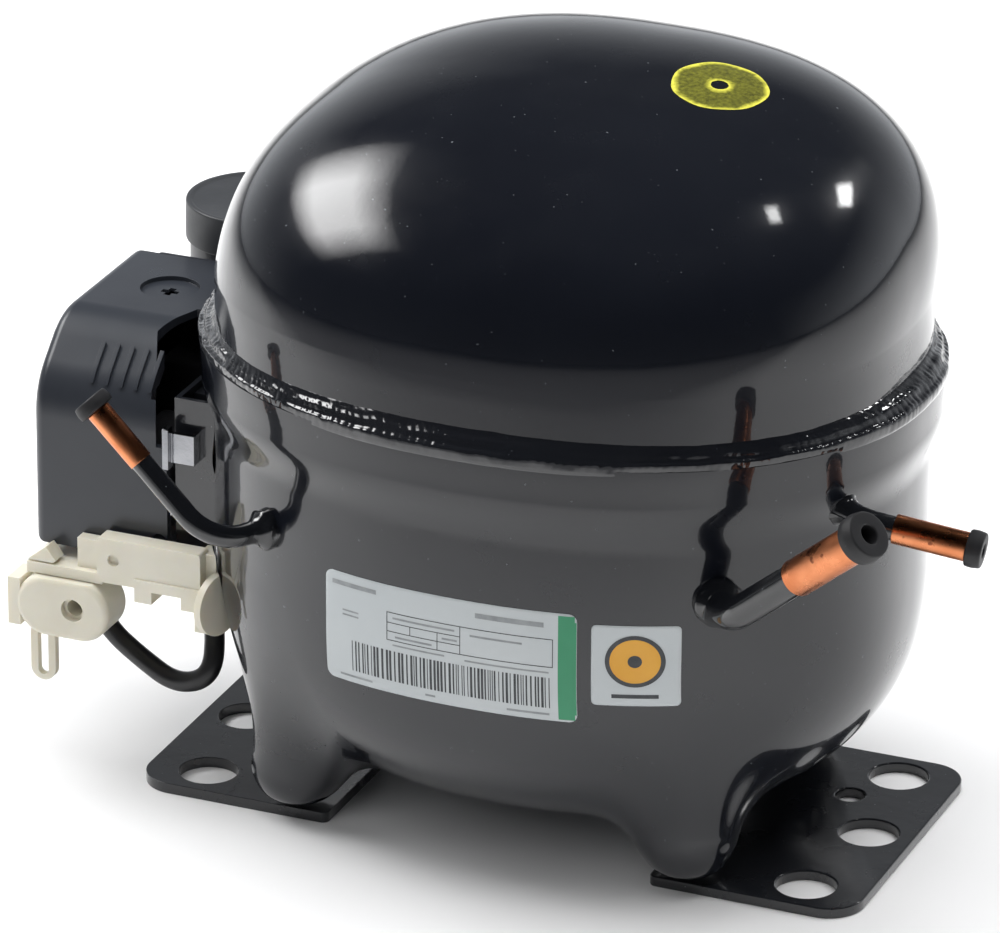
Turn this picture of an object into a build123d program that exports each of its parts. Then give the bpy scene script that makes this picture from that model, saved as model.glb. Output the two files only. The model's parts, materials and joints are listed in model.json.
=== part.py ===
from build123d import *
import os
from math import sin, cos, pi, radians, sqrt, tan, acos, copysign

os.makedirs("parts", exist_ok=True)

# ---------------------------------------------------------------- driving dimensions (mm)
# Origin: centre of the 170 x 70 foot-bolt rectangle, at the underside of the foot plates. +Z up,
# +X towards the end that carries the suction and process tubes, -Y towards the labelled side.
wall = 3.0                      # pressed shell thickness
plate_t = 3.0                   # foot plates
plate_x_out, plate_x_in, plate_y = 101.6, 45.5, 46.5
foot_dx, foot_dy, foot_r = 85.0, 35.0, 8.0
mid_hole_x, small_hole = 89.4, (77.0, 19.3)
shell_xo = 4.0                  # shell centre offset from the bolt pattern
z_weld = 128.0                  # top of the lower shell's rim
x0 = -4.0                       # crankshaft axis
e = 9.8                         # crank radius: stroke 19.6
z_bore = 136.0                  # cylinder axis height
bore_r, piston_r = 14.0, 13.975
shaft_r, hub_bore_r = 9.0, 9.03
pin_r, slider_bore_r = 7.0, 7.03
slider_r, yoke_in_r, yoke_out_r = 10.97, 11.0, 13.5
block_top = 156.0


# ---------------------------------------------------------------- helpers
def box(xa, xb, ya, yb, za, zb):
    return Pos((xa + xb) / 2, (ya + yb) / 2, (za + zb) / 2) * Box(abs(xb - xa), abs(yb - ya), abs(zb - za))


def cyl(x, y, za, zb, r):
    return Pos(x, y, (za + zb) / 2) * Cylinder(r, zb - za)


def ring(x, y, za, zb, ro, ri):
    return cyl(x, y, za, zb, ro) - cyl(x, y, za - 1, zb + 1, ri)


def cyl_x(y, z, xa, xb, r):
    return Pos((xa + xb) / 2, y, z) * Rot(0, 90, 0) * Cylinder(r, xb - xa)


def cyl_y(x, z, ya, yb, r):
    return Pos(x, (ya + yb) / 2, z) * Rot(90, 0, 0) * Cylinder(r, yb - ya)


def rod(p, d, length, r, start=0.0):
    """Cylinder of radius r along direction d from p, beginning at distance start."""
    return Plane(origin=p, z_dir=d) * (Pos(0, 0, start + length / 2) * Cylinder(r, length))


def super_pts(z, a, b, n, xo, yo=0.0, sx=0.0, sy=0.0, count=40):
    pts = []
    for k in range(count):
        t = 2 * pi * k / count
        c, s = cos(t), sin(t)
        x = copysign(abs(c) ** (2 / n), c) * a
        y = copysign(abs(s) ** (2 / n), s) * b
        pts.append((x + xo, y + yo, z + sx * x + sy * y))
    return pts


def loop(*args, **kw):
    return Wire([Edge.make_spline([Vector(*p) for p in super_pts(*args, **kw)], periodic=True)])


def loft_rings(rings):
    return Solid.make_loft([loop(*r) for r in rings], ruled=False)


def unit(v):
    l = sqrt(sum(c * c for c in v))
    return tuple(c / l for c in v)


def along(p, d, s):
    return tuple(p[i] + d[i] * s for i in range(3))


def bent(points, r):
    """Swept rod along straight runs joined by tangent arcs. Prints each radius."""
    radii = []
    for i in range(1, len(points) - 1):
        a = [points[i - 1][k] - points[i][k] for k in range(3)]
        b = [points[i + 1][k] - points[i][k] for k in range(3)]
        la, lb = sqrt(sum(c * c for c in a)), sqrt(sum(c * c for c in b))
        cosang = sum(a[k] * b[k] for k in range(3)) / la / lb
        turn = pi - acos(max(-1, min(1, cosang)))
        radii.append(0.45 * min(la, lb) / tan(turn / 2) if turn > 1e-3 else 1.0)
    print("bend radii", [round(q, 1) for q in radii])
    path = FilletPolyline(*points, radius=radii) if len(set(radii)) > 0 else Polyline(*points)
    d = tuple(points[1][k] - points[0][k] for k in range(3))
    return sweep(Plane(origin=points[0], z_dir=d) * Circle(r), path=path)


def save(shape, name):
    if isinstance(shape, (list, tuple)):
        solids = []
        for s in shape:
            solids += list(s.solids())
        shape = Compound(children=solids) if len(solids) > 1 else solids[0]
    export_step(shape, f"parts/{name}.step")
    print(name, len(shape.solids()), round(shape.volume / 1000, 2), "cm3")


# ---------------------------------------------------------------- lower shell
def belly(z, a, b, z_top, z_bot, off=0.0):
    """Half axes of the rounded pan at height z."""
    q = max(0.0, 1 - (((z_top - z) / (z_top - z_bot)) ** 2.6)) ** (1 / 2.6)
    return a * q, b * q


outer_rings, inner_rings = [], []
for z in (8.7, 10.5, 15, 22, 32, 45, 60):
    a, b = belly(z, 94.5, 76.6, 75, 8)
    outer_rings.append((z, a, b, 2.2, shell_xo))
for z, a, b, n in ((75, 94.5, 76.6, 2.2), (90, 94.5, 76.6, 2.2), (103, 94.5, 76.6, 2.2), (108, 95.0, 77.1, 2.2),
                   (112.5, 96.2, 78.5, 2.2), (117, 97.3, 79.6, 2.2), (122, 97.8, 80.1, 2.18), (z_weld, 98.0, 80.4, 2.16)):
    outer_rings.append((z, a, b, n, shell_xo))
for z in (11.7, 13.5, 18, 24, 33, 45, 60):
    a, b = belly(z, 91.5, 73.6, 75, 11)
    inner_rings.append((z, a, b, 2.2, shell_xo))
for z, a, b in ((75, 91.5, 73.6), (90, 91.5, 73.6), (105, 91.5, 73.6), (118.5, 91.5, 73.6)):
    inner_rings.append((z, a, b, 2.2, shell_xo))
pan_out = loft_rings(outer_rings)
pan_in = loft_rings(inner_rings)
# The joggled rim is opened out so that the cover slips inside it.
rim_in = loft_rings([(z, 93.1, 77.35, 2.33, 4.285, 0.26) for z in (117.8, 123, z_weld + 1)])
lobes = []
for sx in (-1, 1):
    for sy in (-1, 1):
        cx, cy = (-55.5 if sx < 0 else 54.5), 42 * sy
        lobe = Solid.make_loft([Wire.make_circle(rr, Plane((cx - k * sx, cy - k * sy, zz)))
                                for zz, rr, k in ((plate_t, 9.5, 0), (4.8, 11.6, 0), (9, 12.8, 0.3), (26, 15.5, 1.5), (42, 18.0, 4.0), (60, 18.0, 9))])
        lobes.append(lobe)
solid_out = pan_out
for lobe in lobes:
    solid_out = solid_out + lobe
lower_shell = solid_out - pan_in - rim_in
save(lower_shell, "lower_shell")

# ---------------------------------------------------------------- upper shell (dome)
dome = dict(a=92.84, b=77.07, n=2.355, m=2.557, zt=201.44, xo=4.285, yo=0.26, z0=146.6, nt=2.5, dx=5.9, dy=4.77,
            sx=-0.012, sy=0.121)


def dome_ring(u, t=0.0):
    d = dome
    ang = u * pi / 2
    zz = sin(ang) ** (2 / d["m"])
    s = cos(ang) ** (2 / d["m"])
    return (d["z0"] + (d["zt"] - t - d["z0"]) * zz, (d["a"] - t) * s, (d["b"] - t) * s, d["n"] + (d["nt"] - d["n"]) * u,
            d["xo"] + d["dx"] * zz, d["yo"] + d["dy"] * zz, d["sx"] * zz, d["sy"] * zz)


u_list = (0.03, 0.09, 0.16, 0.25, 0.35, 0.46, 0.57, 0.68, 0.78, 0.87, 0.945)
base_r = [(z, 92.84, 77.07, 2.355, 4.285, 0.26) for z in (119, 122, 126, 130, 134, 138, 142)]
cap_out = loft_rings(base_r + [dome_ring(u) for u in u_list])
base_i = [(z, 92.84 - wall, 77.07 - wall, 2.355, 4.285, 0.26) for z in (117, 121, 126, 130, 134, 138, 142)]
cap_in = loft_rings(base_i + [dome_ring(u, wall) for u in u_list])
upper_shell = cap_out - cap_in
save(upper_shell, "upper_shell")
lower_shell = lower_shell - cap_out

# ---------------------------------------------------------------- fillet weld round the joint
bead = loft_rings([(z_weld, 98.9, 81.1, 2.12, 4.0), (z_weld + 1.2, 99.5, 81.6, 2.1, 4.0), (z_weld + 2.8, 98.9, 81.2, 2.12, 4.1),
                   (z_weld + 4.2, 97.0, 79.9, 2.2, 4.15), (z_weld + 5.2, 94.4, 78.2, 2.3, 4.2)])
bead = bead - cap_out
save(max(bead.solids(), key=lambda q: q.volume), "weld_bead")


# ---------------------------------------------------------------- foot plates
def plate(s):
    xa, xb = s * plate_x_in, s * plate_x_out
    p = box(min(xa, xb), max(xa, xb), -plate_y, plate_y, 0, plate_t)
    vert = p.edges().filter_by(Axis.Z)
    outer = [v for v in vert if abs(v.center().X) > 90]
    inner = [v for v in vert if abs(v.center().X) < 60]
    p = fillet(outer, 10)
    inner = [v for v in p.edges().filter_by(Axis.Z) if abs(v.center().X) < 50]
    p = fillet(inner, 2)
    for sy in (-1, 1):
        p = p - cyl(s * foot_dx, sy * foot_dy, -1, 5, foot_r)
    p = p - cyl(s * mid_hole_x, 0, -1, 5, foot_r) - cyl(s * small_hole[0], small_hole[1], -1, 5, 4.0)
    return p


save(plate(-1), "base_plate_left")
save(plate(1), "base_plate_right")

# ---------------------------------------------------------------- refrigerant tubes, connectors and plugs
shell_skin = pan_out


stubs = []


def tube(name, base, out_dir, out_len, run_dir, run_len, r_out, bore, c_r, c_len, plug_r, plug_t, plug_bore):
    """Steel stub from the shell wall, copper connector brazed over its end, rubber plug in the mouth."""
    o, d = unit(out_dir), unit(run_dir)
    p_in = along(base, o, -7.0)
    p1 = along(base, o, out_len)
    p_c0 = along(p1, d, run_len)             # where the copper starts to show
    p_stub = along(p_c0, d, 5.0)             # the steel ends inside the copper socket
    stub = bent([p_in, p1, p_stub], r_out)
    foot = rod(base, o, 3.2, r_out + 2.2, -1.0)
    fil = Plane(origin=along(base, o, 2.0), z_dir=o) * (Pos(0, 0, 0.9) * Cone(r_out + 2.2, r_out + 0.1, 1.8))
    stub = stub + (foot - shell_skin) + fil
    hollow = bent([along(p_in, o, -1.0), p1, along(p_stub, d, 1.0)], bore)
    stubs.append(stub)
    stub = stub - hollow - (pan_in)
    save(stub, name + "_tube")
    mouth = along(p_c0, d, c_len)
    copper = rod(p_c0, d, c_len, c_r) - rod(p_c0, d, 5.0, r_out, 0.0) - rod(p_c0, d, c_len + 2, bore + 0.35, -1.0)
    save(copper, name + "_connector")
    plug = rod(mouth, d, plug_t, plug_r) + rod(mouth, d, 6.0, bore + 0.33, -6.0)
    plug = plug - rod(mouth, d, plug_t + 4.0, plug_bore, -3.0)
    save(plug, name + "_plug")
    print(name, "mouth", [round(c, 2) for c in mouth], "dir", [round(c, 4) for c in d])


tube("discharge", (-55.5, -64.5, 90.5), (-0.53, -0.85, 0.0), 15.7, (-0.72, 0.03, 0.70), 27.9, 2.9, 1.9, 3.2, 17.0, 5.1, 3.6, 1.3)
tube("suction", (69.5, -60.5, 90.4), (0.55, -0.83, 0.0), 9.0, (0.7336, -0.2342, 0.6378), 28.0, 4.3, 3.2, 4.9, 24.0, 6.6, 5.0, 2.3)
tube("process", (91.2, -33.5, 110.5), (0.85, -0.50, -0.18), 7.0, (0.985, 0.10, -0.13), 10.0, 3.2, 2.2, 3.8, 19.0, 4.9, 4.2, 1.6)

# ---------------------------------------------------------------- labels and paint mark
label_out = loft_rings([(z, a + 0.3, b + 0.3, n, xo) for z, a, b, n, xo in outer_rings])
for stub in stubs:
    lower_shell = lower_shell - stub
win = box(-34.2, 35.8, -90, -60, 56.2, 86.8)
win = fillet(win.edges().filter_by(Axis.Y), 2.0)
save((label_out & win) - pan_out, "rating_label")
save((label_out & box(39.4, 60.4, -90, -50, 62.0, 84.4)) - pan_out, "marker_label")

# ring of marking paint on top of the dome: a thin skin cut out of an offset of the dome
paint_out = loft_rings(base_r + [dome_ring(u, -0.22) for u in u_list[:-1]] + [dome_ring(0.945, -0.22)])
paint = paint_out - loft_rings(base_r + [dome_ring(u, -0.02) for u in u_list[:-1]] + [dome_ring(0.945, -0.02)])
mark_x, mark_y = 39.3, 11.4
paint = (paint & ring(mark_x, mark_y, 185, 210, 12.5, 2.2)).solids().sort_by(Axis.Z)[-1]
save(paint, "paint_mark")

# ---------------------------------------------------------------- electrical parts on the -X end
# Terminal header let into the shell end wall with three pins
xw = shell_xo - 94.5            # shell wall at y = 0
term_z = 86.0
terminal = cyl_x(0, term_z, xw - 2.5, xw + wall + 2, 17.0) & box(-120, 0, -30, 30, 60, 110)
save(terminal, "terminal_body")
lower_shell_cut = cyl_x(0, term_z, xw - 10, xw + 12, 17.0)
lower_shell = lower_shell - lower_shell_cut
pins = [cyl_x(7.0 * cos(radians(q)), term_z + 7.0 * sin(radians(q)), xw - 12.5, xw + 9.0, 1.15) for q in (90, 210, 330)]
pin_holes = [cyl_x(7.0 * cos(radians(q)), term_z + 7.0 * sin(radians(q)), xw - 4, xw + 8, 1.15) for q in (90, 210, 330)]
terminal = terminal - pin_holes[0] - pin_holes[1] - pin_holes[2]
save(terminal, "terminal_body")
save(pins, "terminal_pins")

# fence: pressed frame spot-welded to the shell, round the header
fence = box(-93.2, -70, -27, 27, 66, 108) - box(-93.4, -69, -25.2, 25.2, 67.8, 106.2)
flange = box(-93.2, -91.8, -36, 30, 64, 110) - box(-94, -91, -25.2, 25.2, 67.8, 106.2)
fence = (fence + flange) - pan_out
front_leaf = box(-93.2, -79.0, -36.2, -34.8, 64, 110) - pan_out
fence = fence + front_leaf
fence = fence - cyl_x(-31, 72, -100, -60, 1.6)
lower_shell = lower_shell - fence
fence = max(fence.solids(), key=lambda s: s.volume)
save(fence, "terminal_fence")
save(lower_shell, "lower_shell")
save(cyl_x(-31, 72, -96.0, -88.0, 1.6) + cyl_x(-31, 72, -96.0, -93.25, 3.4), "earth_screw")

# relay and overload protector push on to the pins
relay = box(xw - 24, xw - 4.0, 1.5, 21.2, 70, 103)
relay = fillet(relay.edges().filter_by(Axis.X), 1.5)
for p in pin_holes:
    relay = relay - p
for q in (90, 210, 330):
    relay = relay - cyl_x(7.0 * cos(radians(q)), term_z + 7.0 * sin(radians(q)), xw - 13, xw - 3, 1.3)
save(relay, "start_relay")
olp = cyl_x(-13, term_z - 3.5, xw - 18, xw - 4.0, 11.5)
for q in (90, 210, 330):
    olp = olp - cyl_x(7.0 * cos(radians(q)), term_z + 7.0 * sin(radians(q)), xw - 13, xw - 3, 1.3)
olp = olp - box(-130, -80, 1.2, 40, 60, 120)
save(olp, "overload_protector")

# cover: deep moulded cap, open towards the shell, big rounded top front edge
cx_a, cx_b, cy_a, cy_b, cz_a, cz_b = -133.6, -94.6, -38.5, 24.0, 63.0, 123.2


def cover_solid(t):
    """Cross-section in YZ with the generous top front corner, extruded along X, inset by t."""
    ya, yb, za, zb = cy_a + t, cy_b - t, cz_a + t, cz_b - t
    xa, xb = cx_a + t, cx_b
    prof = Polyline((ya, za), (yb, za), (yb, zb), (ya + 17.0, zb), (ya, zb - 15.5), close=True)
    f = Plane.YZ * make_face(prof)
    body = Pos(xb, 0, 0) * extrude(f, -(xb - xa))
    return body


cover_o = cover_solid(0)
big = [ed for ed in cover_o.edges().filter_by(Axis.X) if ed.center().Y < cy_a + 20 and ed.center().Z > 100]
cover_o = fillet(big, 19.0)
left_edges = [ed for ed in cover_o.edges() if abs(ed.center().X - cx_a) < 0.01]
cover_o = fillet(left_edges, 3.2)
cover_i = cover_solid(2.2)
big = [ed for ed in cover_i.edges().filter_by(Axis.X) if ed.center().Y < cy_a + 22 and ed.center().Z > 98]
cover_i = fillet(big, 17.0)
step_o = box(-125.5, -94.6, 20, 25.0, 66, 123.2)
step_o = fillet([ed for ed in step_o.edges().filter_by(Axis.Z) if ed.center().Y > 24.5 and ed.center().X < -120], 0.8)
step_i = box(-123.3, -94.0, 18, 22.8, 68.2, 121.0)
cover = (cover_o + step_o) - cover_i - step_i - box(-100, -90, -36.2, 21.7, 65.2, 120.9)
# back wall so that the mouth is framed, then the diagonal relief at the top front corner near the shell
relief = Pos(0, 0, 0) * extrude(Plane.XY.offset(96) * make_face(Polyline((-104.5, -22.0), (-97.2, -39.5), (-90, -39.5), (-90, -4.0),
                                                                     (-99.5, -8.0), close=True)), 30)
cover = cover - relief
cover = cover - cyl(-112.5, 3.0, 122.0, 127, 8.0)
cover = cover - box(-113.4, -111.6, 0.6, 5.4, 112, 127) - box(-114.9, -110.1, 2.1, 3.9, 112, 127)
cover = cover - cyl_y(-96.6 - 0.4, 69.0, -45, -30, 2.2)
rib_skin = cover_solid(-0.5)
rib_skin = fillet([ed for ed in rib_skin.edges().filter_by(Axis.X) if ed.center().Y < cy_a + 20 and ed.center().Z > 100], 19.5)
for k in range(5):
    cover = cover + (box(-118 + 4.2 * k, -116.8 + 4.2 * k, -36.5, -27.5, 110, 119.0) & rib_skin) - cover_i
cover = max((cover - cover_i).solids(), key=lambda s: s.volume)
# cable outlet in the floor of the cover
cover = cover - box(-112, -90, -14, 4, 60, 70)
save(cover, "box_cover")

# retaining clip between cover and shell
clip = box(-93.4 - 1.0, -86.0, -39.9, -38.7, 93.0, 101.5) + box(-94.4, -92.6, -41.8, -38.7, 91.5, 103.0) + box(-87.4, -86.0, -39.9, -34.8, 93.0, 101.5)
clip = clip - fence
save(clip, "cover_clip")

# ---------------------------------------------------------------- start capacitor
cap_x, cap_y = -106.0, 45.0
can = cyl(cap_x, cap_y, 50, 128, 18.2)
can = fillet(can.edges().filter_by(GeomType.CIRCLE).sort_by(Axis.Z)[0:1], 2.0)
save(can, "start_capacitor")
cap_cap = cyl(cap_x, cap_y, 124.0, 135.0, 19.4)
cap_cap = fillet(cap_cap.edges().filter_by(GeomType.CIRCLE).sort_by(Axis.Z)[-1:], 1.2) - cyl(cap_x, cap_y, 120, 128.0, 18.2)
save(cap_cap, "capacitor_cap")
strap = ring(cap_x, cap_y, 80, 95, 19.4, 18.2) + box(cap_x + 18.8, -66, cap_y - 1, cap_y + 1, 80, 95)
strap = strap - pan_out - box(-130, -110, 15, 30.7, 60, 125)
strap = max(strap.solids(), key=lambda s: s.volume)
save(strap, "capacitor_bracket")

# ---------------------------------------------------------------- cord anchor (nylon)
arm = box(-112.0, -82.0, -45.5, -40.0, 60.0, 70.5)
arm = fillet(arm.edges().filter_by(Axis.Y), 1.0)
bridge = box(-101.0, -81.0, -46.0, -36.4, 54.0, 60.5) + box(-112.0, -97.0, -45.5, -30.0, 57.8, 61.8)
notch = box(-96.0, -87.5, -48, -30, 50, 57.5)
post = box(-119.0, -113.0, -42.5, -38.9, 58.0, 68.0) + box(-113.5, -111, -42.5, -38.9, 58, 61)
socket = box(-133.0, -111.0, -44.5, -26.8, 56.6, 59.6)
tail = box(-84.5, -81.0, -44.0, -36.4, 47.5, 60)
anchor = arm + bridge + post + socket + tail - notch
anchor = anchor - cyl_y(-107.2, 64.6, -47, -44.2, 1.7)
anchor = anchor + (box(-84.0, -79.0, -42.0, -34.85, 60.2, 69.5) - fence)
anchor = anchor - pan_out - fence
anchor = max(anchor.solids(), key=lambda s: s.volume)
save(anchor, "cord_anchor")
disc = rod((-78.9, -42.0, 56.0), (0.96, -0.28, 0), 2.2, 8.6, -0.6)
disc = disc - anchor - pan_out - fence
save(max(disc.solids(), key=lambda s: s.volume), "anchor_washer")

# clamp: rounded barrel half that closes on the cord, turning on its pivot
bar_c = extrude(Plane.XZ.offset(34.0) * Pos(-122.0, 48.3) * Rot(0, 0, 0) * SlotOverall(27.0, 17.4), 13.0)
clamp = fillet(bar_c.edges(), 1.8)
clamp = clamp - cyl_y(-118.8, 48.6, -50, -30, 2.3)
clamp = clamp - cyl_y(-118.8, 48.6, -50, -45.0, 3.2)
clamp = clamp - box(-140, -100, -50, -30, 56.3, 62)
clamp_leaf = box(-137.8, -134.2, -46.5, -37.0, 41.5, 55.0)
clamp = clamp + clamp_leaf
clamp_main = max(clamp.solids(), key=lambda s: s.volume)
bar = Pos(-131.0, -41.6, 58.7) * Rot(0, -38, 0) * Box(12.5, 5.0, 4.6)
bar = bar - box(-140, -120, -50, -30, 50, 56.8) - box(-133.4, -110, -44.9, -26.0, 50, 60.0)
bar = max(bar.solids(), key=lambda s: s.volume)
# hanging loop tag, a flat loop moulded with the clamp
tag = extrude(Plane.XZ.offset(40.0) * Pos(-129.8, 33.0) * Rot(0, 0, 90) * SlotOverall(17.0, 7.2), 2.2)
tag = tag - extrude(Plane.XZ.offset(39.0) * Pos(-129.8, 32.6) * Rot(0, 0, 90) * SlotOverall(13.0, 3.0), 5.0)
tag = tag - clamp
save([clamp_main, bar, max(tag.solids(), key=lambda s: s.volume)], "anchor_clamp")

# ---------------------------------------------------------------- lead cable (hanging loop)
cable_pts = [(-120.5, -30.3, 56.2), (-120.2, -30.3, 46.0), (-116.0, -30.3, 37.0), (-106.5, -31.2, 30.8), (-94.0, -35.0, 26.5),
             (-83.0, -36.5, 31.5), (-85.0, -29.5, 42.0), (-94.0, -15.0, 53.0), (-100.0, -6.0, 62.0), (-101.0, -5.0, 69.6)]
cable = bent(cable_pts, 2.75)
save(cable, "lead_cable")

# ---------------------------------------------------------------- pump: stator
S = 40.0                         # half spacing of the stator bolts and springs
stator = box(x0 - 55, x0 + 55, -55, 55, 44, 88)
stator = fillet(stator.edges().filter_by(Axis.Z), 15)
stator = stator - cyl(x0, 0, 43, 89, 30.5)
for k in range(24):
    q = radians(15 * k)
    slot = Pos(x0, 0, 66) * Rot(0, 0, 15 * k) * Pos(38.5, 0, 0) * Box(13, 4.2, 50)
    stator = stator - slot
bolt_xy = [(x0 + sx * S, sy * S) for sx in (-1, 1) for sy in (-1, 1)]
for bx, by in bolt_xy:
    stator = stator - cyl(bx, by, 40, 90, 2.6)
save(stator, "stator_core")
wind = []
for za, zb in ((30, 44), (88, 101)):
    w = ring(x0, 0, za, zb, 47, 33)
    w = fillet([ed for ed in w.edges().filter_by(GeomType.CIRCLE) if abs(ed.center().Z - (30 if za == 30 else 101)) < 0.1], 3.5)
    wind.append(w)
winding = wind[0] + wind[1]
coils = None
for k in range(24):
    c = Pos(x0, 0, 66) * Rot(0, 0, 15 * k) * Pos(38.7, 0, 0) * Box(9.0, 3.2, 46)
    winding = winding + c
save(winding, "stator_windings")
bolts = [cyl(bx, by, 37.5, 110, 2.5) + cyl(bx, by, 37.5, 43.9, 4.6) for bx, by in bolt_xy]
save(bolts, "stator_bolts")

# ---------------------------------------------------------------- pump: suspension
seat_low = [(cyl(bx, by, 12, 31.0, 7.8) + cyl(bx, by, 30.0, 35.0, 4.6)) & pan_in for bx, by in bolt_xy]
save(seat_low, "spring_seats_lower")
spring_r, wire_r, spring_z0, spring_z1 = 6.2, 0.8, 31.9, 43.0
springs = []
for bx, by in bolt_xy:
    hel = Pos(bx, by, spring_z0) * Helix(pitch=(spring_z1 - spring_z0) / 4.0, height=spring_z1 - spring_z0, radius=spring_r)
    sec = Plane(origin=hel @ 0, z_dir=hel % 0) * Circle(wire_r)
    springs.append(sweep(sec, path=hel, is_frenet=True))
save(springs, "suspension_springs")
seat_up = [cyl(bx, by, 43.9 - 0.1, 43.999, 9.0) for bx, by in bolt_xy]
seat_up = [(ring(bx, by, 37.6, 43.95, 5.3, 4.62) + ring(bx, by, 42.7 + 1.15, 43.95, 8.2, 4.7)) for bx, by in bolt_xy]
save(seat_up, "spring_seats_upper")

# ---------------------------------------------------------------- pump: crankcase and cylinder
deck = box(x0 - 50, x0 + 50, -50, 50, 106, 114)
deck = fillet(deck.edges().filter_by(Axis.Z), 9)
legs = None
for bx, by in bolt_xy:
    deck = deck + cyl(bx, by, 88, 107, 6.0)
cyl_body = box(20, 59.6, -24, 24, 113, block_top)
cyl_body = fillet(cyl_body.edges().filter_by(Axis.X), 6)
casting = deck + cyl_body + cyl(x0, 0, 80, 114, 17)
casting = casting - cyl(x0, 0, 112, 150, 27) + ring(x0, 0, 106, 114, 30, 16.5)
casting = casting - cyl(x0, 0, 79, 120, hub_bore_r) - cyl(x0, 0, 112, 125, 16.0)
casting = casting - cyl_x(0, z_bore, 0, 70, bore_r)
casting = casting - (cyl(x0, 0, 116.4, 124, 26.5))
for bx, by in bolt_xy:
    casting = casting - cyl(bx, by, 87, 111, 2.5)
head_xy = [(sy * 18.5, z_bore + sz * 15.0) for sy in (-1, 1) for sz in (-1, 1)]
for hy, hz in head_xy:
    casting = casting - cyl_x(hy, hz, 46, 62, 2.0)
casting = casting - box(-60, 20, -60, 60, 116, 160)
save(max(casting.solids(), key=lambda s: s.volume), "crankcase")

save(ring(x0, 0, 112.0, 113.0, 15.9, 9.4), "thrust_race_lower")
save(ring(x0, 0, 116.0, 117.0, 15.4, 9.35), "thrust_race_upper")
balls = [Pos(x0 + 12.4 * cos(radians(45 * k)), 12.4 * sin(radians(45 * k)), 114.5) * Sphere(1.5) for k in range(8)]
cage = ring(x0, 0, 113.9, 115.1, 15.2, 9.6)
for k in range(8):
    cage = cage - cyl(x0 + 12.4 * cos(radians(45 * k)), 12.4 * sin(radians(45 * k)), 113, 116, 1.53)
save(balls + [cage], "thrust_balls")

# ---------------------------------------------------------------- pump: crankshaft and rotor
shaft = cyl(x0, 0, 30, 118, shaft_r)
web = cyl(x0, 0, 117.0, 122.0, 15.0) + cyl(x0 + e, 0, 117.0, 122.0, 9.5)
pin = cyl(x0 + e, 0, 121.5, 148.0, pin_r)
shaft = shaft + web + pin - cyl(x0 + 2.5, 0, 29, 110, 2.5) - cyl(x0 + e, 0, 112, 149, 2.0) - cyl(x0 + e / 2, 0, 144.5, 149, 1.75)
save(shaft, "crankshaft")
weight = (ring(x0, 0, 117.4, 121.8, 22.0, 15.0) & box(x0 - 30, x0 - 2, -30, 30, 110, 130)) - cyl(x0 - 18.5, 0, 110, 125, 1.5)
save(weight, "counterweight")
rotor = cyl(x0, 0, 42, 86, 30.0) - cyl(x0, 0, 41, 90, shaft_r) - cyl(x0, 0, 78, 90, 19.0)
save(rotor, "rotor_core")
end_rings = [ring(x0, 0, 37.0, 42.0, 29.0, 20.0), ring(x0, 0, 86.0, 90.0, 29.0, 21.0)]
save(end_rings, "rotor_end_rings")
pick = cyl(x0, 0, 17, 31, 6.5)
pick = Solid.make_loft([Wire.make_circle(3.0, Plane((x0, 0, 16.5))), Wire.make_circle(6.5, Plane((x0, 0, 24))), Wire.make_circle(8.0, Plane((x0, 0, 30)))])
pick = pick - cyl(x0, 0, 15, 31, 2.2)
save(pick, "oil_pickup")
save(cyl(x0 + e / 2, 0, 144.8, 147.8, 1.4), "crank_dowel")

# ---------------------------------------------------------------- pump: slider, yoke and piston
slider = cyl_y(x0 + e, z_bore, -11, 11, slider_r) - cyl(x0 + e, 0, 110, 160, slider_bore_r)
save(slider, "slider_block")
yoke = cyl_y(x0 + e, z_bore, -24, 24, yoke_out_r) - cyl_y(x0 + e, z_bore, -25, 25, yoke_in_r)
slot = box(x0 + e - 7.6, x0 + e + 7.6, -17.6, 17.6, 118, 155)
yoke = yoke - slot
crown_x = 59.3
piston = cyl_x(0, z_bore, x0 + e + yoke_in_r + 1.0, crown_x, piston_r) - cyl_y(x0 + e, z_bore, -30, 30, yoke_in_r)
piston = piston - cyl_x(0, z_bore, 30, crown_x - 5, 10.5)
neck = cyl_x(0, z_bore, x0 + e + 8, 32, 9.0) - cyl_y(x0 + e, z_bore, -30, 30, yoke_in_r)
yoke = yoke + piston + neck - (ring(0, 0, 0, 1, 2, 1))
save(max(yoke.solids(), key=lambda s: s.volume), "piston_yoke")

# ---------------------------------------------------------------- pump: valve plate, reeds and head
x_g0, x_vp0, x_vp1, x_hd0, x_hd1 = 59.6, 60.6, 64.0, 64.8, 80.0


def head_plate(xa, xb, r=3.0):
    p = box(xa, xb, -23, 23, z_bore - 19, z_bore + 19)
    p = fillet(p.edges().filter_by(Axis.X), r)
    for hy, hz in head_xy:
        p = p - cyl_x(hy, hz, xa - 1, xb + 1, 2.0)
    return p


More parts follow.
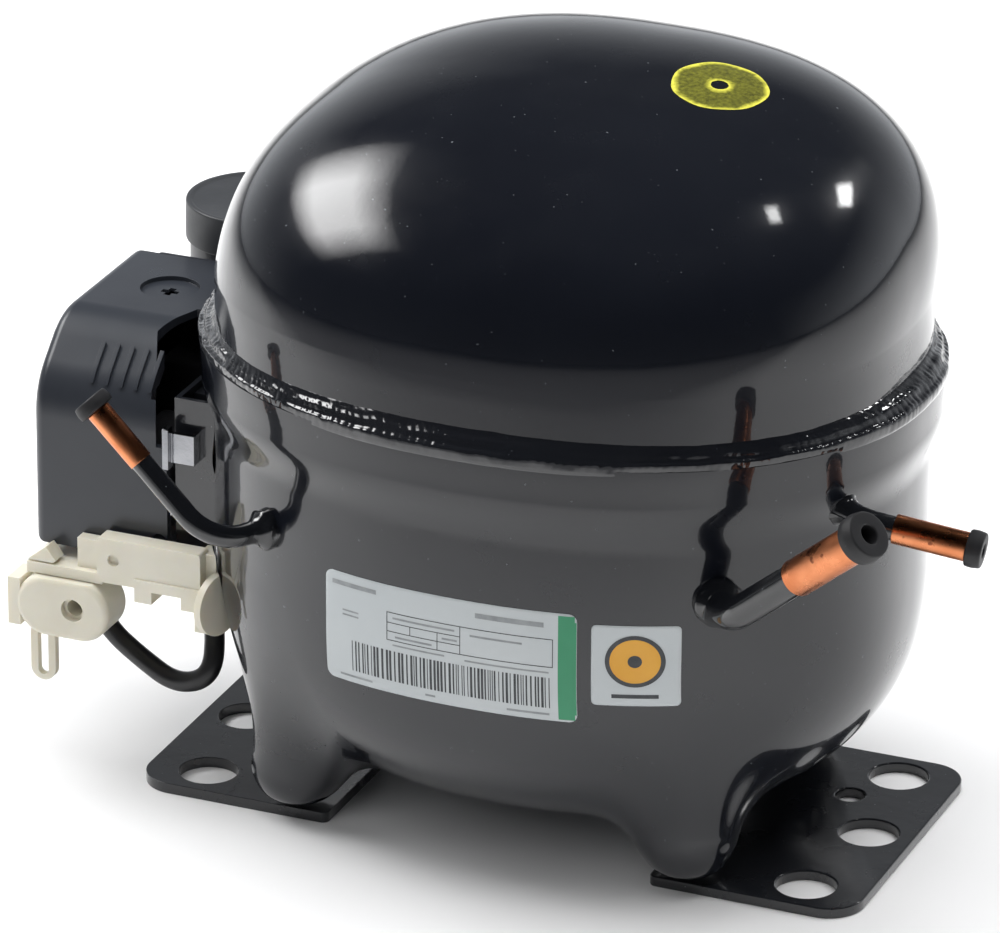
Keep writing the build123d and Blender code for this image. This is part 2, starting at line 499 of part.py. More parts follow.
gasket = head_plate(x_g0, x_g0 + 0.5) - cyl_x(0, z_bore, 50, 70, 14.5)
gasket2 = head_plate(x_vp1, x_hd0) - box(60, 70, -15, -1, z_bore - 13, z_bore + 13) - box(60, 70, 1, 15, z_bore - 13, z_bore + 13)
reed_plate = head_plate(x_g0 + 0.5, x_vp0) - cyl_x(0, z_bore, 50, 70, 14.5)
plate_v = head_plate(x_vp0, x_vp1) - cyl_x(-6.0, z_bore + 1.0, 50, 70, 3.2) - cyl_x(6.0, z_bore + 1.0, 50, 70, 2.6)
save(plate_v, "valve_plate")
reed_slot = box(50, 70, -10.4, -1.6, z_bore - 12.4, z_bore + 5.4)
save([gasket - reed_slot, reed_plate - reed_slot, gasket2 - box(60, 70, 1.6, 10.4, z_bore - 12.4, z_bore + 5.4)], "head_gaskets")
s_reed = box(x_vp0 - 0.4, x_vp0, -10.0, -2.0, z_bore - 12.0, z_bore + 5.0)
s_reed = fillet([ed for ed in s_reed.edges().filter_by(Axis.X) if ed.center().Z > z_bore], 3.5)
save(s_reed, "suction_reed")
d_reed = box(x_vp1, x_vp1 + 0.4, 2.0, 10.0, z_bore - 12.0, z_bore + 4.8)
d_reed = fillet([ed for ed in d_reed.edges().filter_by(Axis.X) if ed.center().Z > z_bore], 3.5)
save(d_reed, "discharge_reed")
head = head_plate(x_hd0, x_hd1, 4.0) - box(x_hd0 - 1, x_hd1 - 4, -15, -1, z_bore - 13, z_bore + 13) - box(x_hd0 - 1, x_hd1 - 4, 1, 15, z_bore - 13, z_bore + 13)
head = head - cyl_y(71, z_bore, -30, -14, 3.5) - cyl_y(71, z_bore, 14, 30, 2.5)
save(head, "cylinder_head")
save([cyl_x(hy, hz, 48, x_hd1, 1.95) + cyl_x(hy, hz, x_hd1, x_hd1 + 3.5, 3.6) for hy, hz in head_xy], "head_bolts")

# ---------------------------------------------------------------- pump: mufflers and discharge line
muff = box(14, 54, -49, -26, 122, 158)
muff = fillet(muff.edges(), 5)
muff = muff + cyl_x(-38, 146, 53, 73.5, 4.2) + cyl_y(71, 136 + 0.0, -42, -23.1, 3.45) + (box(67.5, 74.5, -42, -34, 132.5, 150))
muff = muff - cyl_y(71, 136, -39, -20, 2.2)
save(max(muff.solids(), key=lambda s: s.volume), "suction_muffler")
dmuff = cyl(38, 37, 117, 150, 11)
dmuff = fillet(dmuff.edges().filter_by(GeomType.CIRCLE), 4) + cyl_y(71, z_bore, 23.1, 37, 2.45) + cyl_x(37, z_bore, 47, 73.4, 2.45)
save(max(dmuff.solids(), key=lambda s: s.volume), "discharge_muffler")
line_pts = [(38, 37, 117.5), (47, 47, 104.0), (61, 42, 80.0), (63.5, 20, 66.0), (63.5, -28, 66.0), (53, -59.5, 67.0), (20, -62.0, 70.0),
            (-6, -62.0, 82.0), (-28, -59.5, 93.5), (-46.5, -50.1, 92.5), (-52.4, -59.5, 90.5)]
shock = bent(line_pts, 1.6)
shock = shock - dmuff - casting
save(max(shock.solids(), key=lambda s: s.volume), "shock_loop")
lead = box(-86.0, -80.0, -9.0, 9.0, 78.0, 95.0)
for q in (90, 210, 330):
    lead = lead - cyl_x(7.0 * cos(radians(q)), term_z + 7.0 * sin(radians(q)), -100, -79, 1.2)
lead = lead - terminal
save(max(lead.solids(), key=lambda s: s.volume), "lead_connector")
print("done")
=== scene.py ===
import bpy, bmesh, math, json
import numpy as np
from mathutils import Vector, Matrix
from mathutils.bvhtree import BVHTree


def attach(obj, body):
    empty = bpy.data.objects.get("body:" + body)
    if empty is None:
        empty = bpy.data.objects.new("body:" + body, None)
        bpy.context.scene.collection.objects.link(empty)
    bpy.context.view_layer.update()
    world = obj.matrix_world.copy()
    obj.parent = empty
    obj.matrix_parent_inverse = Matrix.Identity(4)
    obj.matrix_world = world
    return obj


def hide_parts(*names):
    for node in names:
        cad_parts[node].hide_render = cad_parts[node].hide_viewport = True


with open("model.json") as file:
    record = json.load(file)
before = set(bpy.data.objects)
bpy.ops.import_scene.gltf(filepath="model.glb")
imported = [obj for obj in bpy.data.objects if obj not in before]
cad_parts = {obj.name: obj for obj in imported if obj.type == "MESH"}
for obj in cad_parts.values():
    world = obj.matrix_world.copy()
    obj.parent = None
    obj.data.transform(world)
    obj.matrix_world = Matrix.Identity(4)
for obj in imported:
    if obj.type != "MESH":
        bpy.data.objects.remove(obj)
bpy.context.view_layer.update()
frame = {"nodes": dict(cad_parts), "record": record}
NODES = frame["nodes"]
MM = 0.001
rng = np.random.default_rng(7)
scene = bpy.context.scene


# ------------------------------------------------------------------ camera
def make_camera():
    az, el, roll = math.radians(22.105), math.radians(23.373), math.radians(0.556)
    back = Vector((math.sin(az) * math.cos(el), -math.cos(az) * math.cos(el), math.sin(el)))
    right = Vector((math.cos(az), math.sin(az), 0))
    up = back.cross(right).normalized()
    r2 = right * math.cos(roll) + up * math.sin(roll)
    u2 = -right * math.sin(roll) + up * math.cos(roll)
    f, cx, cy = 7765.0, 556.93, 438.72
    ray = (-back) * f + r2 * (500 - cx) - u2 * (466.5 - cy)
    b = (-ray).normalized()
    r = (r2 - b * r2.dot(b)).normalized()
    u = b.cross(r).normalized()
    cam = bpy.data.cameras.new("camera")
    cam.sensor_width = 36.0
    cam.lens = ray.length / 1000 * 36.0
    cam.clip_start, cam.clip_end = 0.05, 60
    ob = bpy.data.objects.new("camera", cam)
    m = Matrix((r, u, b)).transposed().to_4x4()
    m.translation = Vector((0, 0, 0.1)) + back * 2.02935
    ob.matrix_world = m
    scene.collection.objects.link(ob)
    scene.camera = ob
    return ob


make_camera()
scene.view_settings.view_transform = "Standard"
scene.view_settings.look = "None"
scene.view_settings.exposure = 0.0


# ------------------------------------------------------------------ materials
def new_mat(name):
    m = bpy.data.materials.new(name)
    m.use_nodes = True
    nt = m.node_tree
    nt.nodes.clear()
    out = nt.nodes.new("ShaderNodeOutputMaterial")
    p = nt.nodes.new("ShaderNodeBsdfPrincipled")
    nt.links.new(p.outputs[0], out.inputs[0])
    return m, nt, p, out


def put(nt, kind, **vals):
    n = nt.nodes.new(kind)
    for k, v in vals.items():
        setattr(n, k, v)
    return n


def noise(nt, co, scale, detail=3.0, rough=0.55):
    n = nt.nodes.new("ShaderNodeTexNoise")
    n.inputs["Scale"].default_value = scale
    n.inputs["Detail"].default_value = detail
    n.inputs["Roughness"].default_value = rough
    nt.links.new(co, n.inputs["Vector"])
    return n.outputs["Fac"]


def ramp(nt, src, a, b, lo=0.0, hi=1.0):
    n = nt.nodes.new("ShaderNodeMapRange")
    n.inputs["From Min"].default_value = a
    n.inputs["From Max"].default_value = b
    n.inputs["To Min"].default_value = lo
    n.inputs["To Max"].default_value = hi
    nt.links.new(src, n.inputs["Value"])
    return n.outputs["Result"]


def bump(nt, height, strength, dist=0.001, prev=None):
    n = nt.nodes.new("ShaderNodeBump")
    n.inputs["Strength"].default_value = strength
    n.inputs["Distance"].default_value = dist
    nt.links.new(height, n.inputs["Height"])
    if prev is not None:
        nt.links.new(prev, n.inputs["Normal"])
    return n.outputs["Normal"]


def mixc(nt, fac, a, b):
    n = nt.nodes.new("ShaderNodeMix")
    n.data_type = "RGBA"
    if isinstance(fac, float):
        n.inputs[0].default_value = fac
    else:
        nt.links.new(fac, n.inputs[0])
    for sock, v in ((n.inputs[6], a), (n.inputs[7], b)):
        if isinstance(v, (tuple, list)):
            sock.default_value = (*v[:3], 1.0)
        else:
            nt.links.new(v, sock)
    return n.outputs[2]


def mat(name, c1, c2=None, rough=0.5, rough_var=0.08, metal=0.0, coat=0.0, coat_r=0.04, var_scale=35.0, bump_scale=400.0,
        bump_s=0.05, bump_d=0.0004, spec=0.5, stretch=(1, 1, 1), ior=1.5, aniso=0.0, speck=None):
    m, nt, p, out = new_mat(name)
    tc = put(nt, "ShaderNodeTexCoord")
    mp = put(nt, "ShaderNodeMapping")
    mp.inputs["Scale"].default_value = stretch
    nt.links.new(tc.outputs["Object"], mp.inputs["Vector"])
    co = mp.outputs["Vector"]
    c2 = c2 or tuple(min(1, v * 1.25) for v in c1)
    big = noise(nt, co, var_scale, 4.0)
    col = mixc(nt, ramp(nt, big, 0.35, 0.65), c1, c2)
    if speck:
        s_col, s_scale, s_lo = speck
        sp = ramp(nt, noise(nt, co, s_scale, 2.0), s_lo, s_lo + 0.04)
        col = mixc(nt, sp, col, s_col)
    nt.links.new(col, p.inputs["Base Color"])
    r = ramp(nt, noise(nt, co, var_scale * 2.3, 4.0), 0.3, 0.7, max(0.02, rough - rough_var), rough + rough_var)
    nt.links.new(r, p.inputs["Roughness"])
    p.inputs["Metallic"].default_value = metal
    p.inputs["IOR"].default_value = ior
    p.inputs["Specular IOR Level"].default_value = spec
    p.inputs["Coat Weight"].default_value = coat
    p.inputs["Coat Roughness"].default_value = coat_r
    p.inputs["Anisotropic"].default_value = aniso
    if bump_s > 0:
        n1 = bump(nt, noise(nt, co, bump_scale, 3.0), bump_s, bump_d)
        nt.links.new(n1, p.inputs["Normal"])
        if coat:
            nt.links.new(n1, p.inputs["Coat Normal"])
    return m


def gloss_paint(name, c1, c2, rough, coat_r, peel=0.05, wave=0.04, ior=1.6):
    """Stoved gloss enamel: orange peel, long waves, dust nibs and a soft clear top."""
    m, nt, p, out = new_mat(name)
    tc = put(nt, "ShaderNodeTexCoord")
    co = tc.outputs["Object"]
    col = mixc(nt, ramp(nt, noise(nt, co, 14.0, 3.0), 0.35, 0.65), c1, c2)
    dust = ramp(nt, noise(nt, co, 900.0, 1.0), 0.775, 0.80)
    col = mixc(nt, dust, col, (0.11, 0.12, 0.13))
    nt.links.new(col, p.inputs["Base Color"])
    r = ramp(nt, noise(nt, co, 60.0, 4.0), 0.3, 0.7, rough * 0.75, rough * 1.3)
    nt.links.new(r, p.inputs["Roughness"])
    p.inputs["IOR"].default_value = ior
    p.inputs["Specular IOR Level"].default_value = 0.15
    p.inputs["Coat Weight"].default_value = 1.0
    p.inputs["Coat IOR"].default_value = ior
    p.inputs["Coat Roughness"].default_value = coat_r
    b1 = bump(nt, noise(nt, co, 46.0, 2.0), wave, 0.0012)
    b2 = bump(nt, noise(nt, co, 420.0, 2.0), peel, 0.0002, b1)
    nt.links.new(b2, p.inputs["Normal"])
    nt.links.new(b2, p.inputs["Coat Normal"])
    return m


M = {}
M["shell"] = gloss_paint("shell_paint", (0.0055, 0.0065, 0.0100), (0.0075, 0.0088, 0.0128), 0.22, 0.045, ior=1.5)
M["weld"] = gloss_paint("weld_paint", (0.008, 0.009, 0.012), (0.014, 0.015, 0.018), 0.16, 0.04, peel=0.25, wave=0.25)
M["plate"] = gloss_paint("plate_paint", (0.008, 0.009, 0.012), (0.013, 0.014, 0.017), 0.30, 0.10, peel=0.12, wave=0.06)
M["tube"] = gloss_paint("tube_paint", (0.006, 0.0065, 0.008), (0.010, 0.011, 0.013), 0.16, 0.03, peel=0.06, wave=0.10)
M["copper"] = mat("copper_tube", (0.62, 0.205, 0.085), (0.78, 0.30, 0.14), rough=0.30, rough_var=0.08, metal=1.0, var_scale=90,
                  bump_scale=900, bump_s=0.10, bump_d=0.00012, speck=((0.30, 0.10, 0.05), 260.0, 0.66))
M["rubber"] = mat("plug_rubber", (0.012, 0.012, 0.013), (0.022, 0.022, 0.024), rough=0.55, bump_scale=1400, bump_s=0.12, bump_d=0.0001,
                  speck=((0.06, 0.06, 0.06), 700.0, 0.73))
M["cover"] = mat("cover_plastic", (0.024, 0.027, 0.034), (0.030, 0.034, 0.042), rough=0.33, rough_var=0.06, var_scale=22, bump_scale=1600,
                 bump_s=0.10, bump_d=0.00008, coat=0.12, coat_r=0.2)
M["can"] = mat("can_plastic", (0.022, 0.024, 0.028), (0.030, 0.032, 0.037), rough=0.34, rough_var=0.05, var_scale=20, bump_scale=1200,
               bump_s=0.08, bump_d=0.00008)
M["can_top"] = mat("can_end", (0.030, 0.032, 0.036), (0.040, 0.042, 0.046), rough=0.45, rough_var=0.08, var_scale=30, bump_scale=700,
                   bump_s=0.18, bump_d=0.0002)
M["cable"] = mat("cable_sheath", (0.010, 0.010, 0.011), (0.016, 0.016, 0.017), rough=0.42, bump_scale=900, bump_s=0.10, bump_d=0.0001)
M["label"] = mat("label_stock", (0.52, 0.56, 0.575), (0.575, 0.61, 0.62), rough=0.38, var_scale=12, bump_scale=300, bump_s=0.06, bump_d=0.0001,
                 coat=0.25, coat_r=0.25)
M["ink"] = mat("label_ink", (0.035, 0.04, 0.045), (0.06, 0.065, 0.07), rough=0.5, var_scale=300, bump_s=0.0)
M["ink_soft"] = mat("label_ink_soft", (0.26, 0.28, 0.29), (0.34, 0.36, 0.37), rough=0.5, var_scale=300, bump_s=0.0)
M["green"] = mat("label_green", (0.035, 0.27, 0.13), (0.045, 0.31, 0.155), rough=0.40, var_scale=40, bump_s=0.04)
M["amber"] = mat("label_amber", (0.76, 0.36, 0.030), (0.82, 0.41, 0.045), rough=0.40, var_scale=60, bump_s=0.04)
M["clip"] = mat("clip_steel", (0.24, 0.245, 0.26), (0.34, 0.345, 0.36), rough=0.16, rough_var=0.04, metal=1.0, var_scale=90, bump_scale=500, bump_s=0.15)
M["zinc"] = mat("zinc_plate", (0.50, 0.51, 0.53), (0.62, 0.62, 0.60), rough=0.28, metal=1.0, var_scale=70, bump_scale=800, bump_s=0.08)
M["ceramic"] = mat("header_ceramic", (0.22, 0.13, 0.085), (0.28, 0.17, 0.11), rough=0.30, coat=0.4, var_scale=80)
M["pin"] = mat("pin_steel", (0.60, 0.60, 0.60), (0.68, 0.67, 0.66), rough=0.22, metal=1.0, var_scale=90)
M["relay"] = mat("relay_plastic", (0.018, 0.018, 0.020), (0.028, 0.028, 0.031), rough=0.5, bump_scale=1500, bump_s=0.15)
M["cast"] = mat("grey_casting", (0.13, 0.13, 0.135), (0.19, 0.19, 0.19), rough=0.62, metal=0.6, var_scale=60, bump_scale=520, bump_s=0.55,
                bump_d=0.0005)
M["ground"] = mat("ground_steel", (0.55, 0.56, 0.58), (0.64, 0.65, 0.66), rough=0.20, metal=1.0, var_scale=50, stretch=(1, 1, 12),
                  bump_scale=300, bump_s=0.05)
M["alu"] = mat("die_cast_alu", (0.62, 0.63, 0.64), (0.70, 0.71, 0.72), rough=0.42, metal=1.0, var_scale=60, bump_scale=500, bump_s=0.25)
M["spring"] = mat("spring_wire", (0.22, 0.23, 0.25), (0.32, 0.33, 0.35), rough=0.28, metal=1.0, var_scale=150)
M["lam"] = mat("laminations", (0.20, 0.21, 0.23), (0.30, 0.31, 0.33), rough=0.40, metal=0.9, var_scale=14, stretch=(1, 1, 90), bump_scale=22,
               bump_s=0.5, bump_d=0.0004)
M["wire"] = mat("enamel_wire", (0.42, 0.13, 0.035), (0.58, 0.20, 0.06), rough=0.28, metal=0.9, coat=0.6, coat_r=0.1, var_scale=120,
                stretch=(1, 1, 7), bump_scale=260, bump_s=0.8, bump_d=0.0006)
M["muffler"] = mat("muffler_plastic", (0.62, 0.58, 0.44), (0.68, 0.64, 0.50), rough=0.48, var_scale=30)
M["gasket"] = mat("gasket_fibre", (0.10, 0.14, 0.12), (0.15, 0.19, 0.16), rough=0.8, bump_scale=900, bump_s=0.4)
M["bolt"] = mat("bolt_steel", (0.20, 0.20, 0.215), (0.30, 0.30, 0.31), rough=0.36, metal=1.0, var_scale=120, bump_scale=700, bump_s=0.12)

# cream nylon with a little translucency
m, nt, p, out = new_mat("cream_nylon")
tc = put(nt, "ShaderNodeTexCoord")
co = tc.outputs["Object"]
nt.links.new(mixc(nt, ramp(nt, noise(nt, co, 45.0, 3.0), 0.35, 0.65), (0.69, 0.655, 0.545), (0.75, 0.72, 0.615)), p.inputs["Base Color"])
nt.links.new(ramp(nt, noise(nt, co, 120.0, 3.0), 0.3, 0.7, 0.30, 0.42), p.inputs["Roughness"])
p.inputs["Subsurface Weight"].default_value = 0.25
p.inputs["Subsurface Radius"].default_value = (0.003, 0.0022, 0.0012)
p.inputs["Subsurface Scale"].default_value = 1.0
nt.links.new(bump(nt, noise(nt, co, 700.0, 2.0), 0.10, 0.0002), p.inputs["Normal"])
M["nylon"] = m


def skin(obj, *mats):
    obj.data.materials.clear()
    for q in mats:
        obj.data.materials.append(q)


NODE_MAT = {
    "base_plate_left": "plate", "base_plate_right": "plate", "terminal_body": "ceramic", "terminal_pins": "pin", "terminal_fence": "plate",
    "earth_screw": "zinc", "start_relay": "relay", "overload_protector": "relay", "cover_clip": "clip", "capacitor_bracket": "plate",
    "stator_core": "lam", "stator_windings": "wire", "stator_bolts": "bolt", "spring_seats_lower": "rubber", "spring_seats_upper": "rubber",
    "suspension_springs": "spring", "crankcase": "cast", "thrust_race_lower": "ground", "thrust_race_upper": "ground",
    "thrust_balls": "ground", "crankshaft": "ground", "counterweight": "cast", "rotor_core": "lam", "rotor_end_rings": "alu",
    "oil_pickup": "zinc", "crank_dowel": "ground", "slider_block": "ground", "piston_yoke": "ground", "head_gaskets": "gasket",
    "valve_plate": "ground", "suction_reed": "spring", "discharge_reed": "spring", "cylinder_head": "alu", "head_bolts": "bolt",
    "suction_muffler": "muffler", "discharge_muffler": "cast", "shock_loop": "zinc", "lead_connector": "muffler",
    "lower_shell": "shell", "upper_shell": "shell", "weld_bead": "weld", "discharge_tube": "tube", "suction_tube": "tube",
    "process_tube": "tube", "discharge_connector": "copper", "suction_connector": "copper", "process_connector": "copper",
    "discharge_plug": "rubber", "suction_plug": "rubber", "process_plug": "rubber", "rating_label": "label", "marker_label": "label",
    "paint_mark": "amber", "box_cover": "cover", "start_capacitor": "can", "capacitor_cap": "can_top", "cord_anchor": "nylon",
    "anchor_washer": "nylon", "anchor_clamp": "nylon", "lead_cable": "cable",
}
for n, ob in NODES.items():
    skin(ob, M[NODE_MAT.get(n, "shell")])
BODY = {n: b for b, ns in frame["record"]["behaviour"]["bodies"].items() for n in ns}


# ------------------------------------------------------------------ mesh helpers (millimetres in, metres out)
def obj_from(name, verts, faces, mats, smooth=True):
    me = bpy.data.meshes.new(name)
    me.from_pydata([tuple(v) for v in np.asarray(verts, float) * MM], [], [tuple(int(i) for i in f) for f in faces])
    me.validate()
    me.update()
    ob = bpy.data.objects.new(name, me)
    scene.collection.objects.link(ob)
    if smooth:
        me.shade_smooth()
    skin(ob, *mats)
    return ob


def grid_faces(nu, nv, wrap_v=True, base=0, flip=False):
    fs = []
    for i in range(nu - 1):
        for j in range(nv if wrap_v else nv - 1):
            k = (j + 1) % nv
            q = (base + i * nv + j, base + i * nv + k, base + (i + 1) * nv + k, base + (i + 1) * nv + j)
            fs.append(q[::-1] if flip else q)
    return fs


def frame_of(d):
    d = np.asarray(d, float)
    d = d / np.linalg.norm(d)
    a = np.array([0, 0, 1.0]) if abs(d[2]) < 0.9 else np.array([1.0, 0, 0])
    u = np.cross(a, d)
    u /= np.linalg.norm(u)
    return d, u, np.cross(d, u)


def lathe(name, p, d, prof, mats, seg=64, warp=None):
    """Surface of revolution about p + t d; prof holds (t, r) pairs."""
    d, u, v = frame_of(d)
    verts, n = [], len(prof)
    for i, (t, r) in enumerate(prof):
        for j in range(seg):
            q = 2 * math.pi * j / seg
            rr = r if warp is None else r + warp(t, q, r)
            verts.append(np.asarray(p) + d * t + (u * math.cos(q) + v * math.sin(q)) * rr)
    return obj_from(name, verts, grid_faces(n, seg), mats)


def round_corner(pts, radius, seg=5):
    """Rounds each inner corner of a (t, r) profile."""
    out = [pts[0]]
    for i in range(1, len(pts) - 1):
        a, b, c = (np.array(pts[k], float) for k in (i - 1, i, i + 1))
        la, lc = np.linalg.norm(a - b), np.linalg.norm(c - b)
        rr = min(radius, la * 0.45, lc * 0.45)
        s, e = b + (a - b) / la * rr, b + (c - b) / lc * rr
        for k in range(seg + 1):
            w = k / seg
            out.append(tuple((1 - w) ** 2 * s + 2 * w * (1 - w) * b + w * w * e))
    out.append(pts[-1])
    return out


def adopt(ob, node, body=None):
    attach(ob, body or BODY[node])
    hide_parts(node)
    return ob


def bevelled(node, width, body=None, angle=35.0, seg=2):
    """A copy of a CAD node whose sharp edges are broken as pressed or moulded edges are."""
    src = NODES[node]
    me = src.data.copy()
    ob = bpy.data.objects.new(node + "_finished", me)
    scene.collection.objects.link(ob)
    bm = bmesh.new()
    bm.from_mesh(me)
    bmesh.ops.remove_doubles(bm, verts=bm.verts, dist=2e-6)
    bmesh.ops.dissolve_limit(bm, angle_limit=math.radians(0.6), verts=bm.verts, edges=bm.edges)
    bm.to_mesh(me)
    bm.free()
    for a in ("custom_normal",):
        if a in me.attributes:
            me.attributes.remove(me.attributes[a])
    md = ob.modifiers.new("edge", "BEVEL")
    md.width, md.segments, md.limit_method, md.angle_limit = width * MM, seg, "ANGLE", math.radians(angle)
    md.use_clamp_overlap = True
    md.harden_normals = False
    me.shade_smooth()
    bpy.context.view_layer.objects.active = ob
    ob.select_set(True)
    bpy.ops.object.modifier_apply(modifier="edge")
    wn = ob.modifiers.new("flats", "WEIGHTED_NORMAL")
    wn.mode, wn.weight, wn.thresh, wn.keep_sharp = "FACE_AREA", 50, 0.01, True
    bpy.ops.object.shade_smooth_by_angle(angle=math.radians(50))
    bpy.ops.object.modifier_apply(modifier="flats")
    ob.select_set(False)
    adopt(ob, node, body)
    return ob


# ------------------------------------------------------------------ cable (first of the makings)
CABLE = [(-120.5, -30.3, 56.2), (-120.2, -30.3, 46.0), (-116.0, -30.3, 37.0), (-106.5, -31.2, 30.8), (-94.0, -35.0, 26.5),
             (-83.0, -36.5, 31.5), (-85.0, -29.5, 42.0), (-94.0, -15.0, 53.0), (-100.0, -6.0, 62.0), (-101.0, -5.0, 69.6)]
cu = bpy.data.curves.new("lead_cable_sheath", "CURVE")
cu.dimensions = "3D"
sp = cu.splines.new("NURBS")
sp.points.add(len(CABLE) - 1)
for i, c in enumerate(CABLE):
    sp.points[i].co = (c[0] * MM, c[1] * MM, c[2] * MM, 1)
    sp.points[i].radius = 0.01
sp.order_u = 3
sp.use_endpoint_u = True
sp.resolution_u = 24
cu.bevel_depth = 0.275
cu.bevel_resolution = 8
cu.use_fill_caps = True
cable = bpy.data.objects.new("lead_cable_sheath", cu)
scene.collection.objects.link(cable)
cu.materials.append(M["cable"])
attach(cable, "housing")
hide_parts("lead_cable")
dg = bpy.context.evaluated_depsgraph_get()
cu.bevel_depth = 0.0
tmp = bpy.data.meshes.new_from_object(cable.evaluated_get(bpy.context.evaluated_depsgraph_get()))
cu.bevel_depth = 0.275

# ------------------------------------------------------------------ shells
XO = 4.0


def sstep(t):
    t = np.clip(t, 0, 1)
    return t * t * (3 - 2 * t)


def pan_ab(z):
    """Half axes of the lower shell at height z (mm)."""
    z = np.asarray(z, float)
    k = sstep((z - 104.0) / 14.0)
    a, b = 94.5 + 3.1 * k, 76.6 + 3.3 * k
    k2 = sstep((z - 117.0) / 12.0)
    a, b = a + 0.5 * k2, b + 0.5 * k2
    q = np.where(z < 75, np.maximum(0.0, 1 - (np.maximum(0, 75 - z) / 67.0) ** 2.6) ** (1 / 2.6), 1.0)
    return a * q, b * q


def f_body(p):
    z = p[:, 2]
    k = sstep((z - 104.0) / 14.0)
    k2 = sstep((z - 117.0) / 12.0)
    a, b = 94.5 + 3.1 * k + 0.5 * k2, 76.6 + 3.3 * k + 0.5 * k2
    rho = ((np.abs(p[:, 0] - XO) / a) ** 2.2 + (np.abs(p[:, 1]) / b) ** 2.2 + 1e-12) ** (1 / 2.2)
    zeta = np.maximum(0, 75 - z) / 67.0
    return ((rho ** 2.6 + zeta ** 2.6) ** (1 / 2.6) - 1) * 74.0


def smin(a, b, k):
    h = np.maximum(k - np.abs(a - b), 0) / k
    return np.minimum(a, b) - h * h * k * 0.25


def f_lobe(p, cx, cy, sx, sy):
    p0 = np.array([cx, cy, 14.6])
    p1 = np.array([cx - sx * 9.0, cy - sy * 9.0, 62.0])
    ax = p1 - p0
    t = np.clip(((p - p0) @ ax) / (ax @ ax), 0, 1)
    r = 12.6 + (18.5 - 12.6) * t ** 1.2
    d = np.linalg.norm(p - (p0 + t[:, None] * ax), axis=1) - r
    flat = 3.05 - p[:, 2]
    return -smin(-d, -flat, 5.0)


LOBES = [(-55.5, 42.0, -1, 1), (-55.5, -42.0, -1, -1), (54.5, 42.0, 1, 1), (54.5, -42.0, 1, -1)]


def f_pan(p):
    d = f_body(p)
    for l in LOBES:
        d = smin(d, f_lobe(p, *l), 15.0)
    return d


def grad(f, p, h=0.05):
    g = np.empty_like(p)
    for k in range(3):
        q = p.copy()
        q[:, k] += h
        w = p.copy()
        w[:, k] -= h
        g[:, k] = (f(q) - f(w)) / (2 * h)
    return g


def super_ring(t, a, b, n, xo=0.0, yo=0.0):
    c, s = np.cos(t), np.sin(t)
    return np.sign(c) * np.abs(c) ** (2 / n) * a + xo, np.sign(s) * np.abs(s) ** (2 / n) * b + yo


